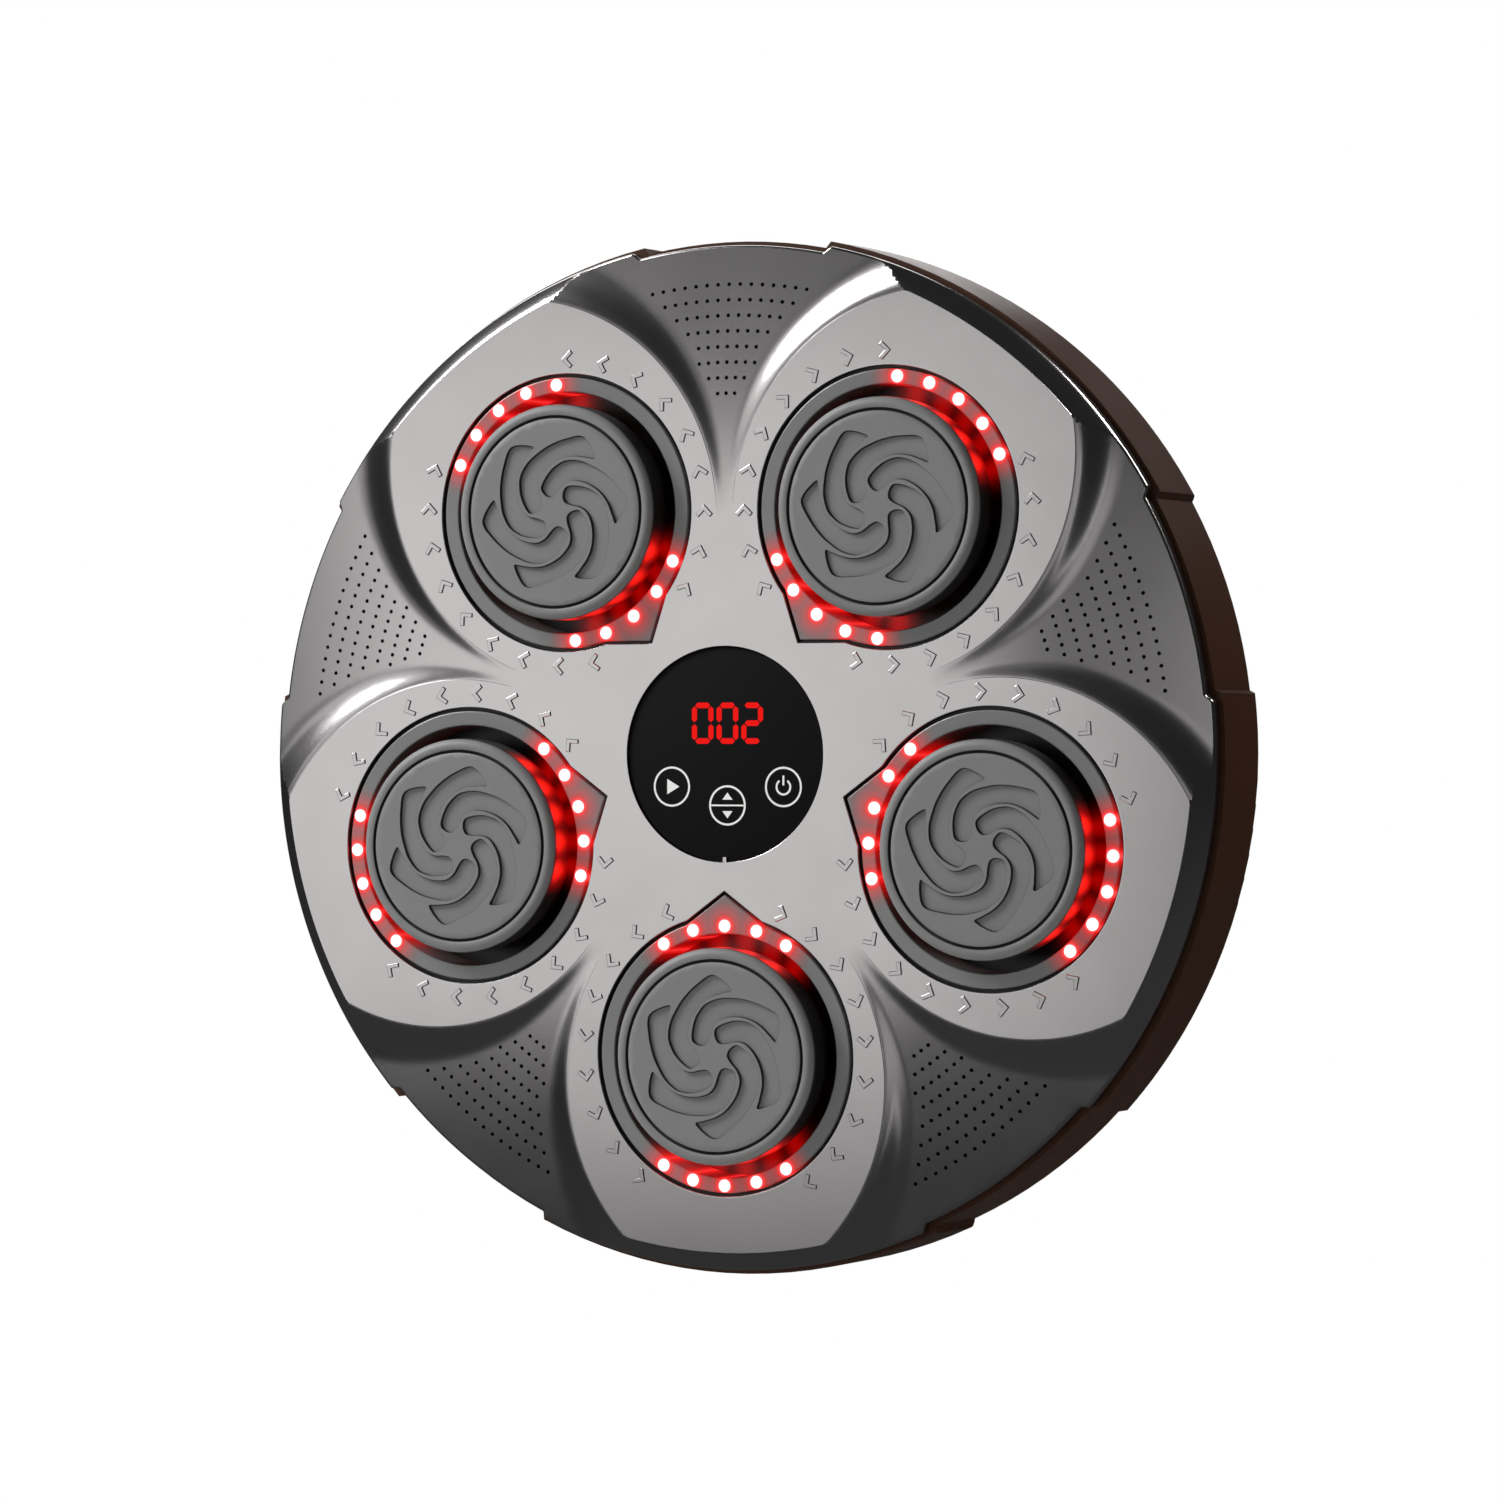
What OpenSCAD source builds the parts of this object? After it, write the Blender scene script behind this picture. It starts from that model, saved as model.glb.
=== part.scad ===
// Wall-hung boxing machine: five sprung punch pads in a round five-petalled case.
// Lengths are in millimetres. Each piece is drawn lying on its back, with the wall at height 0,
// and upright() then stands it up: the wall is the plane Y = 0 and the pads face -Y.

/* [Case] */
// Diameter over the five petals
case_d = 400; // [396:1:480]
// Depth from the wall to the flat face of the petals
case_depth = 50; // [49:1:62]
// Thickness of the moulded walls
wall = 2.5; // [2:0.1:3]
// How far the edge steps in between two petals
edge_step = 2.8; // [1:0.1:4]
// How far the case's front edge lies behind the petals' face
rim_drop = 6; // [4:0.5:8]
// Height of the front cover's side below its front edge
lip_h = 5.5; // [4:0.5:8]
// Radius of the rounding round the back
back_round = 3; // [2:0.5:9]
// How far the rear housing stands out round the front cover
housing_step = 1.8; // [0.5:0.1:3]
// Parting gap between front cover and rear housing
parting = 0.3; // [0.1:0.05:0.5]

/* [Pads] */
// Diameter of a punch pad
pad_d = 84.2; // [70:0.2:86]
// How far the pads stand out from the face
pad_rise = 9.8; // [8:0.1:14]
// Thickness of the soft pad
pad_t = 12; // [10:0.5:14]
// How far a pad can be punched in
pad_travel = 6; // [3:0.5:7]
// Distance from a pad's centre to the edge of the case
pad_edge = 83.3; // [80:0.1:86]
// Gap round a pad
pad_gap = 5.1; // [3:0.1:7]
// Diameter of the three stems that guide a pad
stem_d = 6; // [5:0.5:8]
// Radial clearance of a stem in its guide
stem_fit = 0.08; // [0.03:0.01:0.1]

/* [Light rings] */
// Width of a light ring
ring_w = 5.8; // [5.4:0.1:8]
// Gap between a light ring and the front cover
ring_gap = 1.8; // [1:0.1:3]
// How far a ring's point reaches towards the middle
point_h = 9.3; // [6:0.1:10]
// Lights in each of the two groups
leds_per_group = 5; // [3:1:6]
// Angle between two neighbouring lights
led_pitch = 15.63; // [14:0.01:18]

/* [Display] */
// Diameter of the display lens
lens_d = 83.2; // [80:0.1:84]
// Height of a digit
digit_h = 16; // [12:0.5:18]

/* [Power] */
// Diameter of one battery cell
cell_d = 18.4; // [14:0.1:18.6]
// Length of one battery cell
cell_l = 65; // [50:1:66]
// Diameter of the speaker
speaker_d = 40; // [30:1:44]

/* [Hidden] */
$fn = 96;
PADS = [1, 2, 3, 4, 5];

// Plan of the case
petals = len(PADS);
petal_turn = 360 / petals;
case_r = case_d / 2;
valley_r = case_r - edge_step;
housing_r = case_r + housing_step;
pad_circle_r = case_r - pad_edge;
notch_in = 11.5;
notch_out = 12.1;
rim_land = 7.1;
rim_lip = 0.6;

// Plan of one pad and the rings round it
pad_r = pad_d / 2;
ring_in = pad_r + pad_gap;
ring_out = ring_in + ring_w;
hole_r = ring_out + ring_gap;
cup_lap = 1.7;
cup_r = hole_r + cup_lap;
point_half_angle = 54;
led_r = (ring_in + ring_out) / 2 + 0.16;
petal_land = 12.7;
petal_side_in = 20;
petal_side_out = 10.3;
petal_side_r = hole_r + petal_land + petal_side_in;
flank_run = 9;

// Heights above the wall, from the face downwards
face_z = case_depth;
rim_z = face_z - rim_drop;
part_z = rim_z - lip_h;
under_z = face_z - wall;
lens_recess = 1;
lens_t = 2;
lens_z = face_z - lens_recess;
ring_z = face_z - 0.3;
ring_t = 3.2;
skirt_t = 1.5;
chip_h = 1.9;
board_t = 1.6;
chip_air = 1.7;
led_board_z = ring_z - ring_t - chip_air - chip_h - board_t;
ledge_z = led_board_z - wall;
well_depth = 20;
floor_z = face_z - well_depth;

// Pad mechanism
pad_z = face_z + pad_rise;
pad_back = pad_z - pad_t;
carrier_t = 3;
carrier_z = pad_back - carrier_t;
carrier_r = pad_r - 0.6;
stem_circle_r = 0.64 * pad_r;
guide_h = 3;
guide_wall = 2.4;
stop_gap = 0.3;
stem_end = floor_z - wall - guide_h - stop_gap;
stop_head_h = 2.5;
stop_thread_d = 2.6;
stop_thread_l = 9;
spring_r = 14;
spring_wire = 1.8;
spring_turns = 4.5;
sensor_r = 10;
sensor_t = 0.7;
bump_r = 8;
bump_air = 0.5;

// Screws: [thread diameter, head diameter, head height]
case_screw = [3, 6, 2.5];
cup_screw = [2.8, 5.6, 2];
board_screw = [2.4, 4.6, 1.8];
screw_fit = 0.05;
boss_wall = 2.5;
case_pillar_r = case_screw[0] / 2 + boss_wall;
cup_pillar_r = cup_screw[0] / 2 + boss_wall - 0.5;
post_r = board_screw[0] / 2 + boss_wall - 0.5;
case_screw_r = case_r - 19;
case_screw_seat = 12;
column_z = 20;
ear_top = face_z - 6.5;
ear_r = cup_r + 4.5;
ear_angles = [-140, -40, 40, 140];

// Display and boards
lens_r = lens_d / 2;
lens_fit = 0.2;
lens_ledge = 3.5;
digits = 3;
digit_w = 0.58 * digit_h;
digit_pitch = 0.66 * digit_h;
digit_y = 12;
segment_w = 0.16 * digit_h;
segment_t = 0.3;
segment_gap = 0.8;
key_spread = 23.8;
key_side_y = -12.6;
key_low_y = -19.8;
touch_key_r = 7.9;
control_board_z = face_z - 16.6;
control_board_r = lens_r + 6.4;
post_circle_r = lens_r + 3.4;
post_valleys = [1, 3, 5];
main_board_z = 24;
main_board_r = 44;
standoff_circle_r = 40;
standoff_r = 3.5;
parts_h = 5;
cable_t = 0.8;
cable_w = 10;

// Battery and speaker
cell_gap = 0.4;
pack_l = cell_l + 3;
pack_w = 2 * cell_d + 1.2;
pack_z = wall + 0.3;
bracket_t = 1.2;
bracket_w = 16;
speaker_circle_r = case_r - 50;
speaker_flange_r = speaker_d / 2 + 2.5;
speaker_z = part_z;

// Keyholes and charging socket
key_x = 60;
key_z = 80;
key_entry_r = 5;
key_slot_r = 2.3;
key_slot_l = 9;
usb_w = 9;
usb_h = 3.2;
usb_depth = 7.4;
usb_z = 16;
usb_board = [20, 16, 1.6];
usb_recess = 0.8;

// Placement ------------------------------------------------------------------

module upright() {
    rotate([90, 0, 0]) children();
}

// Puts a piece drawn for the lowest pad, with +Y towards the middle, at pad i
module at_pad(i) {
    rotate([0, 0, petal_turn * (i - 1)])
        translate([0, -pad_circle_r, 0]) children();
}

module each_pad() {
    for (i = PADS) at_pad(i) children();
}

function valley_angle(i) = petal_turn * (i - 0.5) - 90;

// The hollow between pad i and the next one, drawn along +X
module at_valley(i) {
    rotate([0, 0, valley_angle(i)]) children();
}

module lift(z) {
    translate([0, 0, z]) children();
}

module at_case_screws(z = 0) {
    for (a = case_screw_angles())
        rotate([0, 0, a - 90])
            translate([case_screw_r, 0, z]) children();
}

// The cups' screws, four round each pad
module at_ears(z = 0) {
    each_pad()
        for (a = ear_angles)
            translate(concat(polar(ear_r, a), z)) children();
}

// The posts that carry the control board
module at_posts(z = 0) {
    for (k = post_valleys)
        at_valley(k)
            translate([post_circle_r, 0, z]) children();
}

// Outlines -------------------------------------------------------------------

function polar(r, a) = [r * cos(a), r * sin(a)];

// A plate with the point that a light ring turns to the middle of the case
module pointed_plate(r, h) {
    tip = r + point_h;
    foot = tip * sin(point_half_angle);
    cylinder(h = h, r = r);
    linear_extrude(h)
        polygon([
            [0, tip],
            [foot * cos(point_half_angle), foot * sin(point_half_angle)],
            [-foot * cos(point_half_angle), foot * sin(point_half_angle)]
        ]);
}

// The case seen from the front, drawn in by a distance
module case_outline(inset = 0) {
    difference() {
        circle(r = case_r - inset);
        for (i = PADS) at_valley(i) valley_notch(inset);
    }
}

module valley_notch(inset) {
    extra = inset / valley_r * 180 / PI;
    past_r = max(case_r, case_r - inset) + 1;
    inner_a = notch_in + extra;
    outer_a = notch_out + extra;
    difference() {
        polygon([
            polar(valley_r * 0.8, inner_a - 2),
            polar(valley_r - inset, inner_a),
            polar(past_r, outer_a),
            [case_r * 1.3, 0],
            polar(past_r, -outer_a),
            polar(valley_r - inset, -inner_a),
            polar(valley_r * 0.8, 2 - inner_a)
        ]);
        circle(r = valley_r - inset);
    }
}

// Case shells ----------------------------------------------------------------

// One petal: two leaning round flanks and the leaning edge of the case
module petal_block(inset) {
    top = face_z - inset;
    low = part_z - 1;
    h = top - low;
    lean = flank_run * h / rim_drop;
    intersection_for (side = [-1, 1]) {
        translate([side * petal_side_in, -petal_side_out, low])
            cylinder(
                h = h,
                r1 = petal_side_r - inset + lean,
                r2 = petal_side_r - inset
            );
    }
}

// The hollows' floor: level in the middle, falling towards the edge
module dish(inset) {
    top = face_z - inset;
    rotate_extrude()
        polygon([
            [0, part_z - 1],
            [case_r + 1, part_z - 1],
            [case_r + 1, rim_z - inset],
            [valley_r - 1, rim_z - inset],
            [case_r - 18, top - 0.72 * rim_drop],
            [case_r - 60, top - 0.32 * rim_drop],
            [case_r - 105, top],
            [0, top]
        ]);
}

// The leaning edge all round the petals, as the drum that stays inside it
module leaning_drum(inset) {
    lean = rim_land / (rim_drop + rim_lip);
    low = part_z - 1;
    edge_r = case_r - rim_land - inset;
    rotate_extrude()
        polygon([
            [0, low],
            [edge_r + lean * (face_z - inset - low), low],
            [edge_r, face_z - inset],
            [0, face_z - inset]
        ]);
}

// Everything in front of the parting line, as one solid block
module front_block(inset) {
    intersection() {
        union() {
            dish(inset);
            each_pad() petal_block(inset);
        }
        lift(part_z - 1)
            linear_extrude(rim_drop + lip_h + 2)
                case_outline(inset);
        leaning_drum(inset);
    }
}

module front_shell() {
    difference() {
        front_block(0);
        difference() {
            front_block(wall);
            front_bosses();
        }
        cylinder(h = part_z, r = case_r + 5);
    }
}

module front_bosses() {
    at_speaker()
        difference() {
            cylinder(h = case_depth, r = speaker_flange_r);
            lift(-1) cylinder(h = case_depth + 2, r = speaker_d / 2);
        }
    at_case_screws() cylinder(h = face_z, r = case_pillar_r);
    at_ears(ear_top) cylinder(h = wall + 6, r = cup_pillar_r);
    at_posts(control_board_z + board_t) cylinder(h = face_z, r = post_r);
}

module front_cover() {
    color("silver")
        upright()
            difference() {
                union() {
                    front_shell();
                    front_pillars();
                    lens_seat();
                }
                each_pad()
                    lift(part_z) pointed_plate(hole_r, case_depth);
                lift(part_z)
                    cylinder(h = case_depth, r = lens_r - lens_ledge);
                lift(lens_z - lens_t)
                    cylinder(h = case_depth, r = lens_r + lens_fit);
                front_pilots();
            }
}

// The lower ends of the screw pillars, which reach out of the front cover
module front_pillars() {
    post_z = control_board_z + board_t;
    at_case_screws(column_z) cylinder(h = rim_z - column_z - wall, r = case_pillar_r);
    at_ears(ear_top) cylinder(h = under_z - ear_top + 1, r = cup_pillar_r);
    at_posts(post_z) cylinder(h = under_z - post_z + 1, r = post_r);
}

module lens_seat() {
    lift(lens_z - lens_t - 2)
        cylinder(h = 2 + lens_t, r = lens_r + wall);
}

module front_pilots() {
    at_case_screws(column_z - 1) cylinder(h = 16, r = case_screw[0] / 2 + screw_fit);
    at_ears(ear_top - 1)
        cylinder(h = under_z - ear_top + 1, r = cup_screw[0] / 2 + screw_fit);
    at_posts(control_board_z) cylinder(h = 10, r = board_screw[0] / 2 + screw_fit);
}

// The rear housing's outside: straight sides and a rounded back edge
module rear_block(inset) {
    low = inset;
    top = part_z - parting + (inset > 0 ? 1 : 0);
    intersection() {
        lift(low)
            linear_extrude(top - low)
                case_outline(inset - housing_step);
        rounded_drum(housing_r - inset, low, top + 1, back_round);
    }
}

// A drum with its lower edge rounded
module rounded_drum(r, low, top, round) {
    rotate_extrude()
        union() {
            translate([0, low]) square([r - round, top - low]);
            translate([0, low + round]) square([r, top - low - round]);
            intersection() {
                translate([r - round, low + round]) circle(r = round);
                square([r + 1, low + round]);
            }
        }
}

module rear_shell() {
    difference() {
        rear_block(0);
        rear_block(wall);
    }
}

module rear_housing() {
    color("#33241c")
        upright()
            difference() {
                union() {
                    rear_shell();
                    rear_columns();
                }
                rear_bores();
                keyholes();
                usb_window();
            }
}

module rear_columns() {
    at_case_screws(wall / 2) cylinder(h = column_z - wall / 2, d = case_screw[1] + 3);
    for (i = PADS)
        at_valley(i)
            translate([standoff_circle_r, 0, wall / 2])
                cylinder(h = main_board_z - wall / 2, r = standoff_r);
    for (side = [-1, 1])
        translate([0, side * bracket_foot_y(), wall / 2])
            cylinder(h = bracket_foot_z() - wall / 2, r = standoff_r);
    for (x = [-1, 1])
        translate([x * usb_post_x(), usb_post_y(), wall / 2])
            cylinder(h = usb_z - usb_board[2] - wall / 2, r = 2.6);
}

module rear_bores() {
    at_case_screws(-1) {
        cylinder(h = case_screw_seat + 1, r = case_screw[1] / 2 + 0.3);
        cylinder(h = column_z + 2, r = case_screw[0] / 2 + 0.2);
    }
    for (p = board_screw_points())
        translate([p[0], p[1], p[2] - 8])
            cylinder(h = 9, r = board_screw[0] / 2 + screw_fit);
}

module keyholes() {
    for (side = [-1, 1])
        translate([side * key_x, key_z, -1]) {
            cylinder(h = wall + 2, r = key_entry_r);
            translate([0, key_slot_l, 0]) cylinder(h = wall + 2, r = key_slot_r);
            translate([-key_slot_r, 0, 0]) cube([2 * key_slot_r, key_slot_l, wall + 2]);
        }
}

module usb_window() {
    w = usb_w + 0.8;
    h = usb_h + 0.8;
    translate([-w / 2, -housing_r - 1, usb_z + usb_h / 2 - h / 2])
        cube([w, wall + 3, h]);
}

// Light rings and cups --------------------------------------------------------

module light_ring(i) {
    color([0.5, 0.5, 0.52, 0.7])
        upright()
            at_pad(i) {
                difference() {
                    union() {
                        lift(ring_z - ring_t) pointed_plate(ring_out, ring_t);
                        lift(floor_z) cylinder(h = ring_z - ring_t - floor_z, r = ring_in + skirt_t);
                    }
                    lift(floor_z - 1) cylinder(h = well_depth + 2, r = ring_in);
                }
            }
}

module led_board(i) {
    color("darkgreen")
        upright()
            at_pad(i)
                difference() {
                    lift(led_board_z) pointed_plate(ring_out, board_t);
                    lift(led_board_z - 1) cylinder(h = board_t + 2, r = ring_in + skirt_t + 0.3);
                }
}

// The lights of all rings: one group faces the middle and one the edge
module led_chips() {
    middle = (leds_per_group - 1) / 2;
    color("mistyrose")
        upright()
            each_pad()
                for (side = [90, -90])
                    for (k = [0 : leds_per_group - 1])
                        rotate([0, 0, side + led_pitch * (k - middle)])
                            translate([led_r, 0, led_board_z + board_t + chip_h / 2])
                                cube([2.8, 3.5, chip_h], center = true);
}

module well_cup(i) {
    bore_r = ring_in + skirt_t + 0.2;
    rim_r = ring_out + 0.3;
    color("#141414")
        upright()
            at_pad(i)
                difference() {
                    union() {
                        lift(floor_z - wall)
                            cylinder(h = ledge_z - floor_z + wall + 1, r = bore_r + wall - 1);
                        lift(ledge_z) pointed_plate(cup_r, under_z - ledge_z);
                        cup_ears();
                        stem_guides();
                    }
                    lift(floor_z)
                        cylinder(h = well_depth, r = bore_r);
                    lift(led_board_z) pointed_plate(rim_r, well_depth);
                    stem_bores();
                    cable_slot();
                    for (a = ear_angles)
                        translate(concat(polar(ear_r, a), ear_top - wall - 1))
                            cylinder(h = wall + 2, r = cup_screw[0] / 2 + 0.2);
                }
}

module cup_ears() {
    for (a = ear_angles)
        rotate([0, 0, a])
            lift(ear_top - wall) {
                translate([ear_r, 0, 0]) cylinder(h = wall, r = 4.5);
                translate([cup_r - 2, -4.5, 0]) cube([6.5, 9, wall]);
            }
}

module stem_guides() {
    for (a = stem_angles())
        translate(concat(polar(stem_circle_r, a), floor_z - wall - guide_h))
            cylinder(h = guide_h + wall, r = stem_d / 2 + guide_wall);
}

module stem_bores() {
    for (a = stem_angles())
        translate(concat(polar(stem_circle_r, a), floor_z - wall - guide_h - 1))
            cylinder(h = guide_h + wall + 2, r = stem_d / 2 + stem_fit);
}

// The LED cable comes up under the ring's point
module cable_slot() {
    translate([-cable_w / 2 - 1, cable_y() - 1.6, ledge_z - 1])
        cube([cable_w + 2, 3.2, wall + 2]);
}

// Pads ------------------------------------------------------------------------

module pad_cushion(i) {
    edge = 3;
    groove_r = 0.883 * pad_r;
    groove_w = 1.6;
    groove_d = 0.8;
    color("dimgray")
        upright()
            at_pad(i)
                rotate_extrude()
                    difference() {
                        union() {
                            translate([0, pad_back]) square([pad_r - edge, pad_t]);
                            translate([0, pad_back]) square([pad_r, pad_t - edge]);
                            translate([pad_r - edge, pad_z - edge]) circle(r = edge);
                        }
                        translate([groove_r - groove_w / 2, pad_z - groove_d])
                            square([groove_w, groove_d + 1]);
                    }
}

module pad_carrier(i) {
    color("#202020")
        upright()
            at_pad(i)
                difference() {
                    union() {
                        lift(carrier_z) cylinder(h = carrier_t, r = carrier_r);
                        for (a = stem_angles())
                            translate(concat(polar(stem_circle_r, a), stem_end))
                                cylinder(h = carrier_z - stem_end + 1, d = stem_d);
                    }
                    for (a = stem_angles())
                        translate(concat(polar(stem_circle_r, a), stem_end - 1))
                            cylinder(h = stop_thread_l + 2, r = stop_thread_d / 2 + screw_fit);
                }
}

module pad_spring(i) {
    seat = 0.05;
    color("lightgray")
        upright()
            at_pad(i)
                lift(floor_z + spring_wire / 2 + seat)
                    helix_wire(
                        spring_r,
                        spring_wire / 2,
                        carrier_z - floor_z - spring_wire - 2 * seat,
                        spring_turns
                    );
}

// A round wire along a helix, with closed ends
module helix_wire(r, wire_r, rise, turns) {
    steps = round(13 * turns);
    sides = 6;
    rings = [for (k = [0 : steps]) helix_ring(r, wire_r, rise, turns, k / steps, sides)];
    points = [for (ring = rings) each ring];
    walls = [
        for (k = [0 : steps - 1])
            for (s = [0 : sides - 1])
                [
                    k * sides + s,
                    (k + 1) * sides + s,
                    (k + 1) * sides + (s + 1) % sides,
                    k * sides + (s + 1) % sides
                ]
    ];
    first = [for (s = [0 : sides - 1]) s];
    last = [for (s = [sides - 1 : -1 : 0]) steps * sides + s];
    polyhedron(points, concat([first, last], walls));
}

function helix_ring(r, wire_r, rise, turns, t, sides) =
    [
        for (s = [0 : sides - 1])
            let (
                a = 360 * turns * t,
                b = -360 * s / sides,
                out = r + wire_r * cos(b)
            )
            [out * cos(a), out * sin(a), rise * t + wire_r * sin(b)]
    ];

module stop_screws(i) {
    color("silver")
        upright()
            at_pad(i)
                for (a = stem_angles())
                    translate(concat(polar(stem_circle_r, a), stem_end))
                        screw(stop_thread_d, stem_d + 2.4, stop_head_h, stop_thread_l);
}

module impact_sensors() {
    color("goldenrod")
        upright()
            each_pad()
                lift(floor_z) {
                    cylinder(h = 0.4, r = sensor_r);
                    cylinder(h = sensor_t, r = sensor_r - 2.5);
                }
}

module bump_stops() {
    top = carrier_z - pad_travel - bump_air;
    color("#2a2a2a")
        upright()
            each_pad()
                lift(floor_z + sensor_t)
                    rotate_extrude()
                        difference() {
                            square([bump_r, top - floor_z - sensor_t]);
                            translate([0, top - floor_z - sensor_t - 2])
                                square([bump_r / 2, 3]);
                        }
}

function stem_angles() = [-90, 30, 150];
function case_screw_angles() = [petal_turn / 4 : petal_turn / 2 : 359];

// Display ---------------------------------------------------------------------

module display_lens() {
    color([0.07, 0.07, 0.07])
        upright()
            lift(lens_z - lens_t)
                cylinder(h = lens_t, r = lens_r);
}

module digit_module() {
    w = (digits - 1) * digit_pitch + digit_w + 5;
    h = digit_h + 5;
    z = control_board_z + board_t;
    color("#101010")
        upright()
            translate([-w / 2, digit_y - h / 2, z])
                cube([w, h, digit_top() - z]);
}

// Seven bars for each digit, laid on the front of the module
module digit_segments() {
    color("red")
        upright()
            for (d = [0 : digits - 1])
                translate([digit_pitch * (d - (digits - 1) / 2), digit_y, digit_top()])
                    digit();
}

module digit() {
    half = (digit_h - segment_w) / 4;
    side = (digit_w - segment_w) / 2;
    for (row = [-1, 0, 1])
        translate([0, 2 * half * row, 0]) bar(2 * side - segment_gap, 0);
    for (x = [-1, 1])
        for (y = [-1, 1])
            translate([x * side, half * y, 0]) bar(2 * half - segment_gap, 90);
}

module bar(length, turn) {
    mid = length / 2 - segment_w / 2;
    rotate([0, 0, turn])
        linear_extrude(segment_t)
            polygon([
                [-length / 2, 0],
                [-mid, -segment_w / 2],
                [mid, -segment_w / 2],
                [length / 2, 0],
                [mid, segment_w / 2],
                [-mid, segment_w / 2]
            ]);
}

function digit_top() = lens_z - lens_t - 1;

// Spring contacts that carry the touch fields to the board
module touch_springs() {
    z = control_board_z + board_t;
    color("gainsboro")
        upright()
            for (p = key_points())
                translate([p[0], p[1], z])
                    difference() {
                        cylinder(h = lens_z - lens_t - z, r = touch_key_r - 3);
                        lift(-1) cylinder(h = case_depth, r = touch_key_r - 4);
                    }
}

function key_points() =
    [[-key_spread, key_side_y], [0, key_low_y], [key_spread, key_side_y]];

// Boards and cables -----------------------------------------------------------

module control_board() {
    color("darkgreen")
        upright()
            difference() {
                lift(control_board_z) cylinder(h = board_t, r = control_board_r);
                for (k = post_valleys)
                    at_valley(k)
                        translate([post_circle_r, 0, control_board_z - 1])
                            cylinder(h = board_t + 2, r = board_screw[0] / 2 + 0.2);
            }
}

module main_board() {
    top = main_board_z + board_t;
    color("darkgreen")
        upright() {
            difference() {
                lift(main_board_z) cylinder(h = board_t, r = main_board_r);
                for (i = PADS)
                    at_valley(i)
                        translate([standoff_circle_r, 0, main_board_z - 1])
                            cylinder(h = board_t + 2, r = board_screw[0] / 2 + 0.2);
            }
            for (i = PADS)
                rotate([0, 0, petal_turn * (i - 1)])
                    translate([-cable_w / 2 - 1, -main_board_r + 2, top - 0.1])
                        cube([cable_w + 2, 5, 4.1]);
            translate([-7, -7, top - 0.1]) cube([14, 14, 1.6]);
            translate([-24, 6, top - 0.1]) cube([9, 12, parts_h]);
            translate([18, -20, top - 0.1]) cylinder(h = parts_h, r = 4);
            translate([17, 8, top - 0.1]) cube([8, 8, 3]);
        }
}

function cable_y() = cup_r;

// Flat cables from the main board up to the LED boards
module led_cables() {
    reach = pad_circle_r - cable_y();
    color("whitesmoke")
        upright()
            for (i = PADS)
                rotate([0, 0, petal_turn * (i - 1) - 90])
                    rotate([90, 0, 0])
                        lift(-cable_w / 2)
                            linear_extrude(cable_w)
                                cable_side(reach);
}

// Side view of one cable: out of its plug, round a bend and up to the board
module cable_side(reach) {
    z = main_board_z + board_t + 2;
    bend = 5;
    start = main_board_r - 2;
    over = 0.1;
    rise = z + bend + cable_t;
    translate([start, z]) square([reach - bend - start + over, cable_t]);
    translate([reach, rise - over]) square([cable_t, led_board_z - rise + over]);
    intersection() {
        translate([reach - bend, rise])
            difference() {
                circle(r = bend + cable_t);
                circle(r = bend);
            }
        translate([reach - bend, z]) square(bend + cable_t);
    }
}

// Short flat cable between the two round boards
module display_cable() {
    low = main_board_z + board_t;
    color("whitesmoke")
        upright()
            translate([-cable_w / 2, 30, low])
                cube([cable_w, cable_t, control_board_z - low]);
}

// Power -----------------------------------------------------------------------

module battery_pack() {
    color("royalblue")
        upright()
            translate([0, 0, pack_z + cell_d / 2]) {
                for (side = [-1, 1])
                    translate([0, side * (cell_d + cell_gap) / 2, 0])
                        rotate([0, 90, 0]) cylinder(h = pack_l, d = cell_d, center = true);
                cube([pack_l - 2, cell_d * 0.8, cell_d * 0.3], center = true);
            }
}

function bracket_foot_y() = pack_w / 2 + 6.5;
function bracket_foot_z() = 8;

module battery_bracket() {
    top = pack_z + cell_d + 0.2;
    w = pack_w + 1.2;
    foot = bracket_foot_z();
    color("lightslategray")
        upright()
            difference() {
                union() {
                    translate([-bracket_w / 2, -w / 2 - bracket_t, foot])
                        cube([bracket_w, w + 2 * bracket_t, top + bracket_t - foot]);
                    translate([-bracket_w / 2, -bracket_foot_y() - 4.5, foot])
                        cube([bracket_w, 2 * bracket_foot_y() + 9, bracket_t]);
                }
                translate([-bracket_w / 2 - 1, -w / 2, foot - 1])
                    cube([bracket_w + 2, w, top - foot + 1]);
                for (side = [-1, 1])
                    translate([0, side * bracket_foot_y(), foot - 1])
                        cylinder(h = bracket_t + 2, r = board_screw[0] / 2 + 0.2);
            }
}

module at_speaker() {
    rotate([0, 0, 90])
        translate([speaker_circle_r, 0, speaker_z]) children();
}

module speaker_frame() {
    r = speaker_d / 2;
    color("#1c1c1c")
        upright()
            at_speaker()
                rotate_extrude()
                    polygon([
                        [0, -16],
                        [0.45 * r, -16],
                        [0.45 * r, -10],
                        [0.6 * r, -9],
                        [r, -2],
                        [speaker_flange_r, -2],
                        [speaker_flange_r, 0],
                        [r - 0.8, 0],
                        [r - 0.8, -1.4],
                        [0.55 * r, -8],
                        [0, -8]
                    ]);
}

module speaker_cone() {
    r = speaker_d / 2 - 1.1;
    color("#303030")
        upright()
            at_speaker()
                rotate_extrude()
                    polygon([
                        [0, -5.4],
                        [0.3 * r, -7],
                        [r, -0.9],
                        [r, -0.3],
                        [0.3 * r, -6.2],
                        [0, -4.6]
                    ]);
}

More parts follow.
